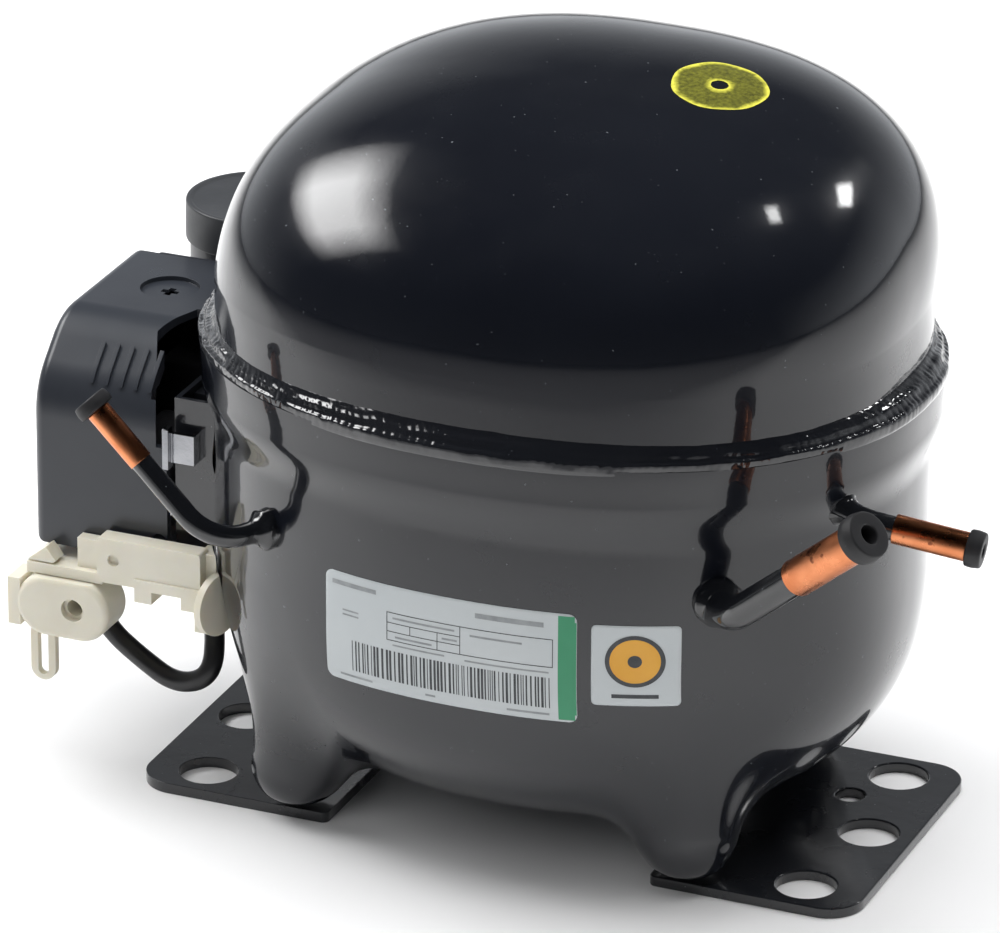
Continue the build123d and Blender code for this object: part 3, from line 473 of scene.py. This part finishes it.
def build_pan():
    """Rough union of body and foot lobes, voxel-remeshed, then every vertex is moved on to one smooth implicit surface."""
    seg, vs, fs = 96, [], []
    t = np.linspace(0, 2 * math.pi, seg, endpoint=False)
    zs = [9.2, 10.5, 13, 17, 22, 28, 36, 46, 58, 72, 90, 104, 110, 116, 122, 136]
    for z in zs:
        a, b = pan_ab(z)
        x, y = super_ring(t, a, b, 2.2, XO)
        vs += list(zip(x, y, np.full(seg, z)))
    fs += grid_faces(len(zs), seg)
    fs.append(tuple(range(seg))[::-1])
    fs.append(tuple(range((len(zs) - 1) * seg, len(zs) * seg)))
    for cx, cy, sx, sy in LOBES:
        base = len(vs)
        rows = [(3.2, 8.0, 0), (5.5, 11.0, 0), (14, 12.6, 0), (30, 14.0, 3), (46, 16.0, 6), (62, 17.0, 9)]
        for z, r, k in rows:
            q = np.linspace(0, 2 * math.pi, 40, endpoint=False)
            vs += list(zip(cx - sx * k + r * np.cos(q), cy - sy * k + r * np.sin(q), np.full(40, z)))
        fs += grid_faces(len(rows), 40, base=base)
        fs.append(tuple(range(base, base + 40))[::-1])
        fs.append(tuple(range(base + (len(rows) - 1) * 40, base + len(rows) * 40)))
    ob = obj_from("lower_shell_pressing", vs, fs, [M["shell"]])
    md = ob.modifiers.new("remesh", "REMESH")
    md.mode, md.voxel_size = "VOXEL", 1.7 * MM
    bpy.context.view_layer.objects.active = ob
    ob.select_set(True)
    bpy.ops.object.modifier_apply(modifier="remesh")
    pass
    ob.select_set(False)
    me = ob.data
    co = np.empty(len(me.vertices) * 3)
    me.vertices.foreach_get("co", co)
    p = co.reshape(-1, 3) / MM
    for it in range(8):
        f = f_pan(p)
        g = grad(f_pan, p)
        g2 = np.maximum((g * g).sum(1), 1e-3)
        step = -(f / g2)[:, None] * g
        ln = np.linalg.norm(step, axis=1, keepdims=True)
        step *= np.minimum(1, 2.5 / np.maximum(ln, 1e-9))
        p = p + step
        if it in (1, 3, 5):
            # even the spacing along the surface
            nb = np.zeros_like(p)
            cnt = np.zeros(len(p))
            ed = np.empty(len(me.edges) * 2, int)
            me.edges.foreach_get("vertices", ed)
            ed = ed.reshape(-1, 2)
            np.add.at(nb, ed[:, 0], p[ed[:, 1]])
            np.add.at(nb, ed[:, 1], p[ed[:, 0]])
            np.add.at(cnt, ed[:, 0], 1)
            np.add.at(cnt, ed[:, 1], 1)
            mv = (nb / cnt[:, None] - p) * 0.5
            gn = g / np.sqrt(g2)[:, None]
            mv -= (mv * gn).sum(1, keepdims=True) * gn
            p = p + mv
    me.vertices.foreach_set("co", (p * MM).ravel())
    me.update()
    bm = bmesh.new()
    bm.from_mesh(me)
    bmesh.ops.bisect_plane(bm, geom=bm.verts[:] + bm.edges[:] + bm.faces[:], plane_co=(0, 0, 0.1283), plane_no=(0, 0, 1), clear_outer=True)
    bm.to_mesh(me)
    bm.free()
    # inner skin and the closing lip
    me.update()
    co = np.empty(len(me.vertices) * 3)
    me.vertices.foreach_get("co", co)
    p = co.reshape(-1, 3) / MM
    g = grad(f_pan, p)
    nrm = g / np.linalg.norm(g, axis=1, keepdims=True)
    t = np.linspace(0, 2 * math.pi, 128, endpoint=False)
    rows, vs2 = [], []
    for z, a, b, n in ((128.3, 98.1, 80.4, 2.2), (128.3, 93.1, 77.35, 2.33), (118.0, 93.1, 77.35, 2.33), (116.5, 91.5, 73.6, 2.2), (100, 91.5, 73.6, 2.2), (75, 91.5, 73.6, 2.2)):
        x, y = super_ring(t, a, b, n, XO)
        vs2 += list(zip(x, y, np.full(len(t), z)))
        rows.append(1)
    for z in (66, 56, 46, 38, 31, 25, 20, 16, 13.5, 12, 11.3):
        q = (1 - ((75 - z) / 64.0) ** 2.6) ** (1 / 2.6)
        x, y = super_ring(t, 91.5 * q, 73.6 * q, 2.2, XO)
        vs2 += list(zip(x, y, np.full(len(t), z)))
        rows.append(1)
    inner = obj_from("lower_shell_inner", vs2, grid_faces(len(rows), len(t), flip=True) + [tuple(range((len(rows) - 1) * len(t), len(rows) * len(t)))], [M["shell"]])
    me.shade_smooth()
    me.normals_split_custom_set_from_vertices([tuple(v) for v in nrm])
    return ob, inner


pan, pan_inner = build_pan()
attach(pan_inner, "housing")
adopt(pan, "lower_shell")

D = dict(a=92.84, b=77.07, n=2.355, m=2.557, zt=201.44, xo=4.285, yo=0.26, z0=146.6, nt=2.5, dx=5.9, dy=4.77, sx=-0.012, sy=0.121)


def dome_pt(u, t, off=0.0):
    ang = u * math.pi / 2
    zz = np.sin(ang) ** (2 / D["m"])
    s = np.cos(ang) ** (2 / D["m"])
    n = D["n"] + (D["nt"] - D["n"]) * u
    c, q = np.cos(t), np.sin(t)
    x = np.sign(c) * np.abs(c) ** (2 / n) * (D["a"] - off) * s
    y = np.sign(q) * np.abs(q) ** (2 / n) * (D["b"] - off) * s
    z = D["z0"] + (D["zt"] - off - D["z0"]) * zz + zz * (D["sx"] * x + D["sy"] * y)
    return np.stack([x + D["xo"] + D["dx"] * zz, y + D["yo"] + D["dy"] * zz, z], -1)


def dome_rows(off, us, t):
    rows = []
    x, y = super_ring(t, D["a"] - off, D["b"] - off, D["n"], D["xo"], D["yo"])
    for z in (119.0, 125.0, 131.0, 136.0, 141.0):
        rows.append(np.stack([x, y, np.full_like(x, z)], -1))
    for u in us:
        rows.append(dome_pt(u, t, off))
    return rows


seg = 400
t = np.linspace(0, 2 * math.pi, seg, endpoint=False)
us = np.concatenate([[0.0005, 0.004, 0.012], np.linspace(0.025, 0.93, 110), 1 - np.geomspace(0.065, 0.0008, 26)])
R_out = dome_rows(0.0, us, t)
verts = np.concatenate(R_out)
faces = grid_faces(len(R_out), seg)
apex = len(verts)
verts = np.vstack([verts, dome_pt(1.0 - 1e-9, np.array([0.3]))])
faces += [((len(R_out) - 1) * seg + j, (len(R_out) - 1) * seg + (j + 1) % seg, apex) for j in range(seg)]
dome = obj_from("upper_shell_pressing", verts, faces, [M["shell"]])
t2 = t[::4]
R_in = dome_rows(3.0, us[::5], t2)
R_in = [R_out[0][::4]] + R_in
dome_in = obj_from("upper_shell_inner", np.concatenate(R_in), grid_faces(len(R_in), len(t2), flip=True) +
                   [tuple(range((len(R_in) - 1) * len(t2), len(R_in) * len(t2)))[::-1]], [M["shell"]])
adopt(dome, "upper_shell")
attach(dome_in, "housing")
dome_bvh = BVHTree.FromObject(dome, bpy.context.evaluated_depsgraph_get())

# ------------------------------------------------------------------ weld bead: overlapping crescents on a lumpy run
seg_w = 1500
tw = np.linspace(0, 2 * math.pi, seg_w, endpoint=False)
ox, oy = super_ring(tw, 98.7, 81.0, 2.13, 4.05)
ix, iy = super_ring(tw, 92.80, 77.03, 2.355, 4.285, 0.26)
outer_p, inner_p = np.stack([ox, oy], -1), np.stack([ix, iy], -1)
ds = np.linalg.norm(np.roll(outer_p, -1, 0) - outer_p, axis=1)
arc = np.concatenate([[0], np.cumsum(ds)[:-1]])
total = ds.sum()
prof = [(0.90, 126.7), (1.00, 127.3), (1.055, 128.1), (1.06, 129.0), (1.01, 129.8), (0.93, 130.2), (0.86, 130.5), (0.78, 131.0),
        (0.68, 131.7), (0.58, 132.1), (0.49, 132.35), (0.40, 132.8), (0.30, 133.4), (0.20, 133.85), (0.11, 134.1), (0.03, 134.4), (-0.06, 134.7)]
n_rip = int(total / 2.35)


def fbm1(x, seed, octs=4):
    out = np.zeros_like(x)
    r = np.random.default_rng(seed)
    for o in range(octs):
        k = 2 ** o
        n = int(total / 9.0 * k)
        tab = r.uniform(-1, 1, n)
        f = x / total * n
        i = np.floor(f).astype(int) % n
        w = f - np.floor(f)
        w = w * w * (3 - 2 * w)
        out += (tab[i] * (1 - w) + tab[(i + 1) % n] * w) / (1.6 ** o)
    return out


verts = []
jit = fbm1(arc, 5) * 0.9
for k, (w, z) in enumerate(prof):
    v = k / (len(prof) - 1)
    ph = (arc + 2.2 * (v - 0.5) ** 2 * 4 + jit) / total * n_rip
    saw = (ph % 1.0)
    rip = (np.sin(math.pi * saw) ** 0.7 * 0.55 - 0.3) * (0.35 + 0.65 * np.clip(fbm1(arc, 60, 2) * 0.8 + 0.5, 0, 1))
    crest = math.cos(2 * math.pi * (3.0 * v + 0.12)) * 0.30
    env = math.sin(math.pi * min(1, max(0, v))) ** 0.7
    lump = fbm1(arc + k * 0.35, 11 + k // 3, 4) * 0.34 + fbm1(arc, 40, 2) * 0.28
    fine = fbm1(arc * 1.0, 300 + k, 6) * 0.10
    disp = (rip * 0.42 + lump * 0.78 + crest + fine) * env
    q = inner_p + (outer_p - inner_p) * w
    nr = (outer_p - inner_p)
    nr /= np.linalg.norm(nr, axis=1, keepdims=True)
    up = 0.35 + 0.65 * v
    q = q + nr * (disp * (1.05 - v))[:, None]
    zz = z + disp * up + fbm1(arc, 77, 3) * 0.22 * env
    verts.append(np.stack([q[:, 0], q[:, 1], zz], -1))
bead = obj_from("weld_bead_run", np.concatenate(verts), grid_faces(len(prof), seg_w), [M["weld"]])
adopt(bead, "weld_bead")


# ------------------------------------------------------------------ surface lookups for labels
def front_y(x, z, off=0.0):
    a, b = pan_ab(z)
    q = np.clip(1 - (np.abs(x - XO) / (a + off)) ** 2.2, 0, 1)
    return -(b + off) * q ** (1 / 2.2)


def patch(x0, x1, z0, z1, off, step=1.0):
    nx, nz = max(2, int((x1 - x0) / step) + 1), max(2, int((z1 - z0) / step) + 1)
    xs, zs = np.linspace(x0, x1, nx), np.linspace(z0, z1, nz)
    X, Z = np.meshgrid(xs, zs)
    Y = front_y(X, Z, off)
    return np.stack([X, Y, Z], -1).reshape(-1, 3), nz, nx


def merge_patches(name, rects, off, m, step=1.5):
    vs, fs = [], []
    for (x0, x1, z0, z1) in rects:
        p, nz, nx = patch(x0, x1, z0, z1, off, step)
        fs += grid_faces(nz, nx, wrap_v=False, base=len(vs))
        vs += list(p)
    return obj_from(name, vs, fs, [m])


def rounded_label(name, x0, x1, z0, z1, r, m, off=0.22, skew=0.0):
    """Label stock as a thin curved sheet with rounded corners and a slim visible edge."""
    nx, nz = int((x1 - x0) / 0.7), int((z1 - z0) / 0.7)
    xs, zs = np.linspace(x0, x1, nx), np.linspace(z0, z1, nz)
    vs = []
    for o in (off, 0.02):
        for z in zs:
            for x in xs:
                ex, ez = min(x - x0, x1 - x), min(z - z0, z1 - z)
                xx, zz_ = x, z
                if ex < r and ez < r:
                    cx = x0 + r if x < (x0 + x1) / 2 else x1 - r
                    cz = z0 + r if z < (z0 + z1) / 2 else z1 - r
                    dx, dz = x - cx, z - cz
                    m8 = max(abs(dx), abs(dz)) / max(1e-6, math.hypot(dx, dz))
                    xx, zz_ = cx + dx * m8, cz + dz * m8
                vs.append((xx, float(front_y(xx, zz_, o)), zz_))
    fs = grid_faces(nz, nx, wrap_v=False)
    n = nx * nz
    rim = [i for i in range(nx)] + [j * nx + nx - 1 for j in range(1, nz)] + [(nz - 1) * nx + i for i in range(nx - 2, -1, -1)] + \
          [j * nx for j in range(nz - 2, 0, -1)]
    for a, b in zip(rim, rim[1:] + rim[:1]):
        fs.append((b, a, a + n, b + n))
    return obj_from(name, vs, fs, [m])


# rating label: 70 x 31 mm, plain frame, cells, bar rows; no lettering
LX0, LX1, LZ0, LZ1 = -34.2, 35.8, 56.2, 86.8
LW, LH = LX1 - LX0, LZ1 - LZ0
lab = rounded_label("rating_label_sheet", LX0, LX1, LZ0, LZ1, 2.2, M["label"])
adopt(lab, "rating_label")


def L(s0, s1, t0, t1):
    return (LX0 + s0 * LW, LX0 + s1 * LW, LZ0 + t0 * LH, LZ0 + t1 * LH)


def frame_lines(s0, s1, t0, t1, w=0.22):
    ws, wt = w / LW, w / LH
    return [L(s0, s1, t0, t0 + wt), L(s0, s1, t1 - wt, t1), L(s0, s0 + ws, t0, t1), L(s1 - ws, s1, t0, t1)]


dark, soft = [], []
dark += frame_lines(0.265, 0.915, 0.50, 0.76)
dark += [L(0.265, 0.56, 0.66, 0.667), L(0.265, 0.56, 0.58, 0.587), L(0.56, 0.563, 0.50, 0.76), L(0.36, 0.363, 0.58, 0.667),
         L(0.47, 0.473, 0.50, 0.667)]
for s0, s1, t0, t1 in ((0.03, 0.22, 0.885, 0.925), (0.62, 0.88, 0.86, 0.905), (0.075, 0.145, 0.62, 0.635), (0.075, 0.145, 0.66, 0.675),
                       (0.29, 0.54, 0.70, 0.718), (0.49, 0.55, 0.61, 0.628), (0.30, 0.45, 0.53, 0.548), (0.29, 0.50, 0.455, 0.470)):
    soft.append(L(s0, s1, t0, t1))
for s0, s1, t0, t1 in ((0.60, 0.80, 0.68, 0.698), (0.58, 0.90, 0.445, 0.460), (0.06, 0.20, 0.05, 0.07), (0.42, 0.46, 0.05, 0.07), (0.74, 0.90, 0.05, 0.07)):
    soft.append(L(s0, s1, t0, t1))
s = 0.115
rb = np.random.default_rng(21)
while s < 0.90:
    w = rb.choice([0.0035, 0.006, 0.009])
    dark.append(L(s, min(s + w, 0.905), 0.12, 0.405))
    s += w + rb.choice([0.0045, 0.007, 0.011])
ink = merge_patches("rating_label_lines", dark, 0.26, M["ink"])
ink2 = merge_patches("rating_label_soft_lines", soft, 0.26, M["ink_soft"])
stripe = merge_patches("rating_label_stripe", [(LX1 - 4.7, LX1 - 0.5, LZ0 + 0.6, LZ1 - 0.6), (LX1 - 0.55, LX1 - 0.05, LZ0 + 2.2, LZ1 - 2.2)], 0.25, M["green"], 0.8)
for o in (ink, ink2, stripe):
    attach(o, "housing")

# marker label: amber disc with a dark ring, a centre dot and one bar
QX0, QX1, QZ0, QZ1 = 39.4, 60.6, 62.0, 84.4
mk = rounded_label("marker_label_sheet", QX0, QX1, QZ0, QZ1, 1.2, M["label"])
adopt(mk, "marker_label")


def disc(name, cx, cz, r0, r1, off, m, n=64, rings=4):
    vs = []
    for i in range(rings + 1):
        r = r0 + (r1 - r0) * i / rings
        for j in range(n):
            q = 2 * math.pi * j / n
            x, z = cx + r * math.cos(q), cz + r * math.sin(q)
            vs.append((x, float(front_y(x, z, off)), z))
    o = obj_from(name, vs, grid_faces(rings + 1, n), [m])
    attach(o, "housing")
    return o


QC = ((QX0 + QX1) / 2, QZ0 + 12.6)
disc("marker_disc", QC[0], QC[1], 0.02, 6.6, 0.26, M["amber"])
disc("marker_ring", QC[0], QC[1], 6.1, 7.2, 0.30, M["ink"], rings=1)
disc("marker_dot", QC[0], QC[1], 0.02, 1.7, 0.30, M["ink"], rings=2)
bars = merge_patches("marker_bars", [(QX0 + 5.0, QX1 - 5.0, QZ0 + 2.2, QZ0 + 3.3)], 0.26, M["ink"])
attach(bars, "housing")

# ------------------------------------------------------------------ marking paint on the dome
m, nt, p, out = new_mat("marking_paint")
tc = put(nt, "ShaderNodeTexCoord")
uvn = tc.outputs["UV"]
sep = put(nt, "ShaderNodeSeparateXYZ")
nt.links.new(uvn, sep.inputs[0])
rad = sep.outputs[0]
nz1 = noise(nt, tc.outputs["Object"], 230.0, 4.0)
nz2 = noise(nt, tc.outputs["Object"], 900.0, 2.0)
add = put(nt, "ShaderNodeMath", operation="ADD")
nt.links.new(rad, add.inputs[0])
nt.links.new(ramp(nt, nz1, 0.3, 0.7, -0.05, 0.05), add.inputs[1])
r1 = ramp(nt, add.outputs[0], 0.86, 0.97)
r2 = ramp(nt, add.outputs[0], 0.34, 0.20)
mx = put(nt, "ShaderNodeMath", operation="MAXIMUM")
nt.links.new(r1, mx.inputs[0])
nt.links.new(r2, mx.inputs[1])
al = put(nt, "ShaderNodeMath", operation="MULTIPLY_ADD")
nt.links.new(mx.outputs[0], al.inputs[0])
al.inputs[1].default_value = 0.55
nt.links.new(ramp(nt, nz2, 0.3, 0.7, 0.20, 0.50), al.inputs[2])
cl = put(nt, "ShaderNodeClamp")
nt.links.new(al.outputs[0], cl.inputs[0])
nt.links.new(cl.outputs[0], p.inputs["Alpha"])
nt.links.new(mixc(nt, mx.outputs[0], (0.30, 0.30, 0.035), (0.66, 0.63, 0.07)), p.inputs["Base Color"])
p.inputs["Roughness"].default_value = 0.45
nt.links.new(bump(nt, nz1, 0.3, 0.0002), p.inputs["Normal"])
M["mark"] = m
mc = (39.3, 11.4)
nr_, nseg = 26, 120
vs, uvs = [], []
for i in range(nr_ + 1):
    f = i / nr_
    r = 2.3 + (12.6 - 2.3) * f
    for j in range(nseg):
        q = 2 * math.pi * j / nseg
        wob = 1 + 0.012 * math.sin(3 * q + 0.7) + 0.01 * math.sin(7 * q)
        x, y = mc[0] + r * wob * math.cos(q), mc[1] + r * wob * math.sin(q)
        hit = dome_bvh.ray_cast(Vector((x * MM, y * MM, 0.25)), Vector((0, 0, -1)))
        vs.append(((hit[0] + hit[1] * 0.00012) / MM)[:])
        uvs.append((r / 12.6, 0.5))
mark = obj_from("marking_ring", vs, grid_faces(nr_ + 1, nseg), [M["mark"]])
uvl = mark.data.uv_layers.new(name="radius")
for lp in mark.data.loops:
    uvl.data[lp.index].uv = uvs[lp.vertex_index]
adopt(mark, "paint_mark")


# ------------------------------------------------------------------ tube stubs with brazed roots
def unit(v):
    v = np.asarray(v, float)
    return v / np.linalg.norm(v)


def path_points(base, o, out_len, d, run_len, extra=5.0, back=6.0):
    o, d = unit(o), unit(d)
    p0, p1 = np.asarray(base) - o * back, np.asarray(base) + o * out_len
    p2 = p1 + d * (run_len + extra)
    turn = math.acos(float(np.clip(o @ d, -1, 1)))
    la, lb = back + out_len, run_len + extra
    rad_ = 0.45 * min(la, lb) / math.tan(turn / 2)
    cut = rad_ * math.tan(turn / 2)
    a, b = p1 - o * cut, p1 + d * cut
    nrm = unit(d - o * (d @ o))
    c = a + nrm * rad_
    pts = [p0 + (a - p0) * k / 14 for k in range(14)]
    for k in range(25):
        q = turn * k / 24
        pts.append(c - nrm * rad_ * math.cos(q) + o * rad_ * math.sin(q))
    pts += [b + (p2 - b) * k / 12 for k in range(1, 13)]
    return np.array(pts), p1 + d * run_len


def sweep(name, pts, rad_at, mats, seg=48, closed_end=None):
    tn = np.gradient(pts, axis=0)
    tn /= np.linalg.norm(tn, axis=1, keepdims=True)
    _, u, v = frame_of(tn[0])
    arc_ = np.concatenate([[0], np.cumsum(np.linalg.norm(np.diff(pts, axis=0), axis=1))])
    vs = []
    for i, pnt in enumerate(pts):
        u = u - tn[i] * (u @ tn[i])
        u /= np.linalg.norm(u)
        v = np.cross(tn[i], u)
        for j in range(seg):
            q = 2 * math.pi * j / seg
            r = rad_at(arc_[i], q)
            vs.append(pnt + (u * math.cos(q) + v * math.sin(q)) * r)
    fs = grid_faces(len(pts), seg)
    return obj_from(name, vs, fs, mats)


def stub(name, base, o, out_len, d, run_len, r, c_r, c_len, plug_r, plug_t, plug_b, bore, seed, flare=2.3):
    back = 6.0
    pts, p_c0 = path_points(base, o, out_len, d, run_len, back=back)
    dense = [pts[0]]
    for a, b in zip(pts[:-1], pts[1:]):
        n = max(1, int(np.linalg.norm(b - a) / 0.35))
        dense += [a + (b - a) * k / n for k in range(1, n + 1)]
    pts = np.array(dense)
    rr = np.random.default_rng(seed)
    am, ph = rr.uniform(0.3, 1.0, 6), rr.uniform(0, 6.28, 6)

    def rad_at(s_, q):
        x = max(0.0, s_ - back - 0.2)
        lump = sum(am[k] * math.sin((k + 2) * q + ph[k] + s_ * 0.6 * (k % 3)) for k in range(6)) * 0.12
        return r + (flare + lump * 1.6) * math.exp(-(x / 1.7) ** 1.6) + lump * 0.10 * math.exp(-x / 8.0)

    ob = sweep(name + "_stub", pts, rad_at, [M["tube"]])
    adopt(ob, name + "_tube")
    dd, cr = unit(d), c_r
    pr = round_corner([(5.0, r + 0.02), (-0.25, r + 0.02), (-0.25, cr), (c_len, cr), (c_len, bore + 0.35), (5.2, bore + 0.35)], 0.35, 4)
    rr2 = np.random.default_rng(seed + 1)
    a3 = rr2.uniform(0, 6.28, 3)
    cop = lathe(name + "_socket", p_c0, dd, pr, [M["copper"]], 72,
                warp=lambda t_, q, r_: 0.045 * math.sin(2 * q + a3[0] + t_ * 0.25) + 0.02 * math.sin(5 * q + a3[1]) if r_ > cr - 0.5 else 0)
    adopt(cop, name + "_connector")
    mouth = p_c0 + dd * c_len
    pf = round_corner([(-6.0, bore * 0.25), (-6.0, bore + 0.25), (0.0, bore + 0.33), (0.0, plug_r * 0.97), (plug_t * 0.45, plug_r), (plug_t, plug_r * 0.93),
                       (plug_t, plug_b + 0.2), (-2.6, plug_b), (-3.0, 0.05)], 0.55, 5)
    pf = [(-6.0, 0.01)] + pf
    plug = lathe(name + "_bung", mouth, dd, pf, [M["rubber"]], 72)
    body = {"discharge": "plug_discharge", "suction": "plug_suction", "process": "plug_process"}[name]
    adopt(plug, name + "_plug", body)


stub("discharge", (-55.5, -64.5, 90.5), (-0.53, -0.85, 0.0), 15.7, (-0.72, 0.03, 0.70), 27.9, 2.9, 3.2, 17.0, 5.1, 3.6, 1.3, 1.9, 3)
stub("suction", (69.5, -60.5, 90.4), (0.55, -0.83, 0.0), 9.0, (0.7336, -0.2342, 0.6378), 28.0, 4.3, 4.9, 24.0, 6.6, 5.0, 2.3, 3.2, 5)
stub("process", (91.2, -33.5, 110.5), (0.85, -0.50, -0.18), 7.0, (0.985, 0.10, -0.13), 10.0, 3.2, 3.8, 19.0, 4.9, 4.2, 1.6, 2.2, 9)

# ------------------------------------------------------------------ start capacitor
CX, CY = -106.0, 45.0
can_prof = round_corner([(50.0, 0.01), (50.0, 15.0), (50.9, 18.2), (128.2, 18.2), (128.2, 10.0)], 1.6, 6)
can = lathe("capacitor_can", (CX, CY, 0), (0, 0, 1), can_prof, [M["can"]], 128)
adopt(can, "start_capacitor")
cap_prof = round_corner([(124.0, 18.25), (124.0, 19.35), (126.2, 19.4), (134.9, 19.25), (134.95, 17.9), (134.45, 17.3), (134.4, 0.01)], 0.8, 5)
cap = lathe("capacitor_end", (CX, CY, 0), (0, 0, 1), cap_prof, [M["can_top"]], 128)
adopt(cap, "capacitor_cap")

# ------------------------------------------------------------------ pressed and moulded parts with broken edges
for node, w, body in (("base_plate_left", 0.45, "housing"), ("base_plate_right", 0.45, "housing"), ("box_cover", 0.35, "cover"),
                      ("cord_anchor", 0.30, "housing"), ("anchor_clamp", 0.25, None), ("anchor_washer", 0.35, "housing"),
                      ("terminal_fence", 0.25, "housing"), ("cover_clip", 0.2, "housing"), ("capacitor_bracket", 0.25, "housing")):
    ob = bevelled(node, w, body)
    skin(ob, M[NODE_MAT[node]])

# ------------------------------------------------------------------ floor and light
fl = bpy.data.meshes.new("floor")
fl.from_pydata([(-9, -9, 0), (9, -9, 0), (9, 9, 0), (-9, 9, 0)], [], [(0, 1, 2, 3)])
floor = bpy.data.objects.new("floor", fl)
scene.collection.objects.link(floor)
M["floor"] = mat("floor_paper", (0.86, 0.86, 0.865), (0.88, 0.88, 0.885), rough=0.85, var_scale=3, bump_scale=600, bump_s=0.02, spec=0.2)
nt = M["floor"].node_tree
p = next(n for n in nt.nodes if n.type == "BSDF_PRINCIPLED")
paper = p.inputs["Base Color"].links[0].from_socket
tc = put(nt, "ShaderNodeTexCoord")
sep = put(nt, "ShaderNodeSeparateXYZ")
nt.links.new(tc.outputs["Object"], sep.inputs[0])
nt.links.new(mixc(nt, ramp(nt, sep.outputs[1], -0.46, -0.22), (0.30, 0.30, 0.31), paper), p.inputs["Base Color"])
skin(floor, M["floor"])


def area(name, direction, dist, size, power, target=(0.0, 0.0, 0.11), color=(1, 1, 1), glossy=True, diffuse=True, shape="RECTANGLE"):
    li = bpy.data.lights.new(name, "AREA")
    li.shape = shape
    li.size, li.size_y = size
    li.energy = power
    li.color = color
    ob = bpy.data.objects.new(name, li)
    d = Vector(direction).normalized()
    ob.location = Vector(target) + d * dist
    ob.rotation_mode = "QUATERNION"
    ob.rotation_quaternion = d.to_track_quat("Z", "Y")
    scene.collection.objects.link(ob)
    ob.visible_glossy = glossy
    ob.visible_diffuse = diffuse
    return ob


def direc(az, el):
    a, e_ = math.radians(az), math.radians(el)
    return (math.cos(a) * math.cos(e_), math.sin(a) * math.cos(e_), math.sin(e_))


def soften(ob, edge=0.35, gamma=1.0):
    """A diffuser whose brightness falls away towards its rim."""
    li = ob.data
    li.use_nodes = True
    nt = li.node_tree
    em = next(n for n in nt.nodes if n.type == "EMISSION")
    ge = nt.nodes.new("ShaderNodeNewGeometry")
    sx = nt.nodes.new("ShaderNodeSeparateXYZ")
    nt.links.new(ge.outputs["Parametric"], sx.inputs[0])
    last = None
    for k in (0, 1):
        up_ = ramp(nt, sx.outputs[k], 0.0, edge, 0.0, 1.0)
        dn = ramp(nt, sx.outputs[k], 1.0, 1.0 - edge, 0.0, 1.0)
        for f_ in (up_, dn):
            if last is None:
                last = f_
            else:
                mu_ = nt.nodes.new("ShaderNodeMath")
                mu_.operation = "MULTIPLY"
                nt.links.new(last, mu_.inputs[0])
                nt.links.new(f_, mu_.inputs[1])
                last = mu_.outputs[0]
    nt.links.new(last, em.inputs["Strength"])


area("top_soft", direc(70, 80), 2.4, (3.0, 3.0), 100, glossy=False)
area("front_soft", direc(-100, 42), 2.4, (1.8, 1.4), 13, glossy=False)
soften(area("left_box", direc(180, 43), 1.25, (1.15, 0.62), 22), 0.30)
soften(area("right_win", direc(58, 40), 1.3, (0.22, 0.15), 2.0), 0.25)
soften(area("right_win2", direc(49, 64), 1.3, (0.22, 0.10), 0.9), 0.3)
w = bpy.data.worlds.new("studio")
scene.world = w
w.use_nodes = True
nt = w.node_tree
nt.nodes.clear()
wo = nt.nodes.new("ShaderNodeOutputWorld")
bg = nt.nodes.new("ShaderNodeBackground")
nt.links.new(bg.outputs[0], wo.inputs[0])
tc = nt.nodes.new("ShaderNodeTexCoord")
sep = nt.nodes.new("ShaderNodeSeparateXYZ")
nt.links.new(tc.outputs["Generated"], sep.inputs[0])
horizon = ramp(nt, sep.outputs[2], 0.05, 0.55, 0.85, 0.04)
rear = ramp(nt, sep.outputs[1], -0.35, 0.55, 0.05, 1.0)
above = ramp(nt, sep.outputs[2], -0.08, 0.02, 0.03, 1.0)
mu = nt.nodes.new("ShaderNodeMath")
mu.operation = "MULTIPLY"
nt.links.new(horizon, mu.inputs[0])
nt.links.new(rear, mu.inputs[1])
mu2 = nt.nodes.new("ShaderNodeMath")
mu2.operation = "MULTIPLY"
nt.links.new(mu.outputs[0], mu2.inputs[0])
nt.links.new(above, mu2.inputs[1])
nt.links.new(mu2.outputs[0], bg.inputs["Strength"])
bg.inputs["Color"].default_value = (0.93, 0.96, 1.0, 1.0)
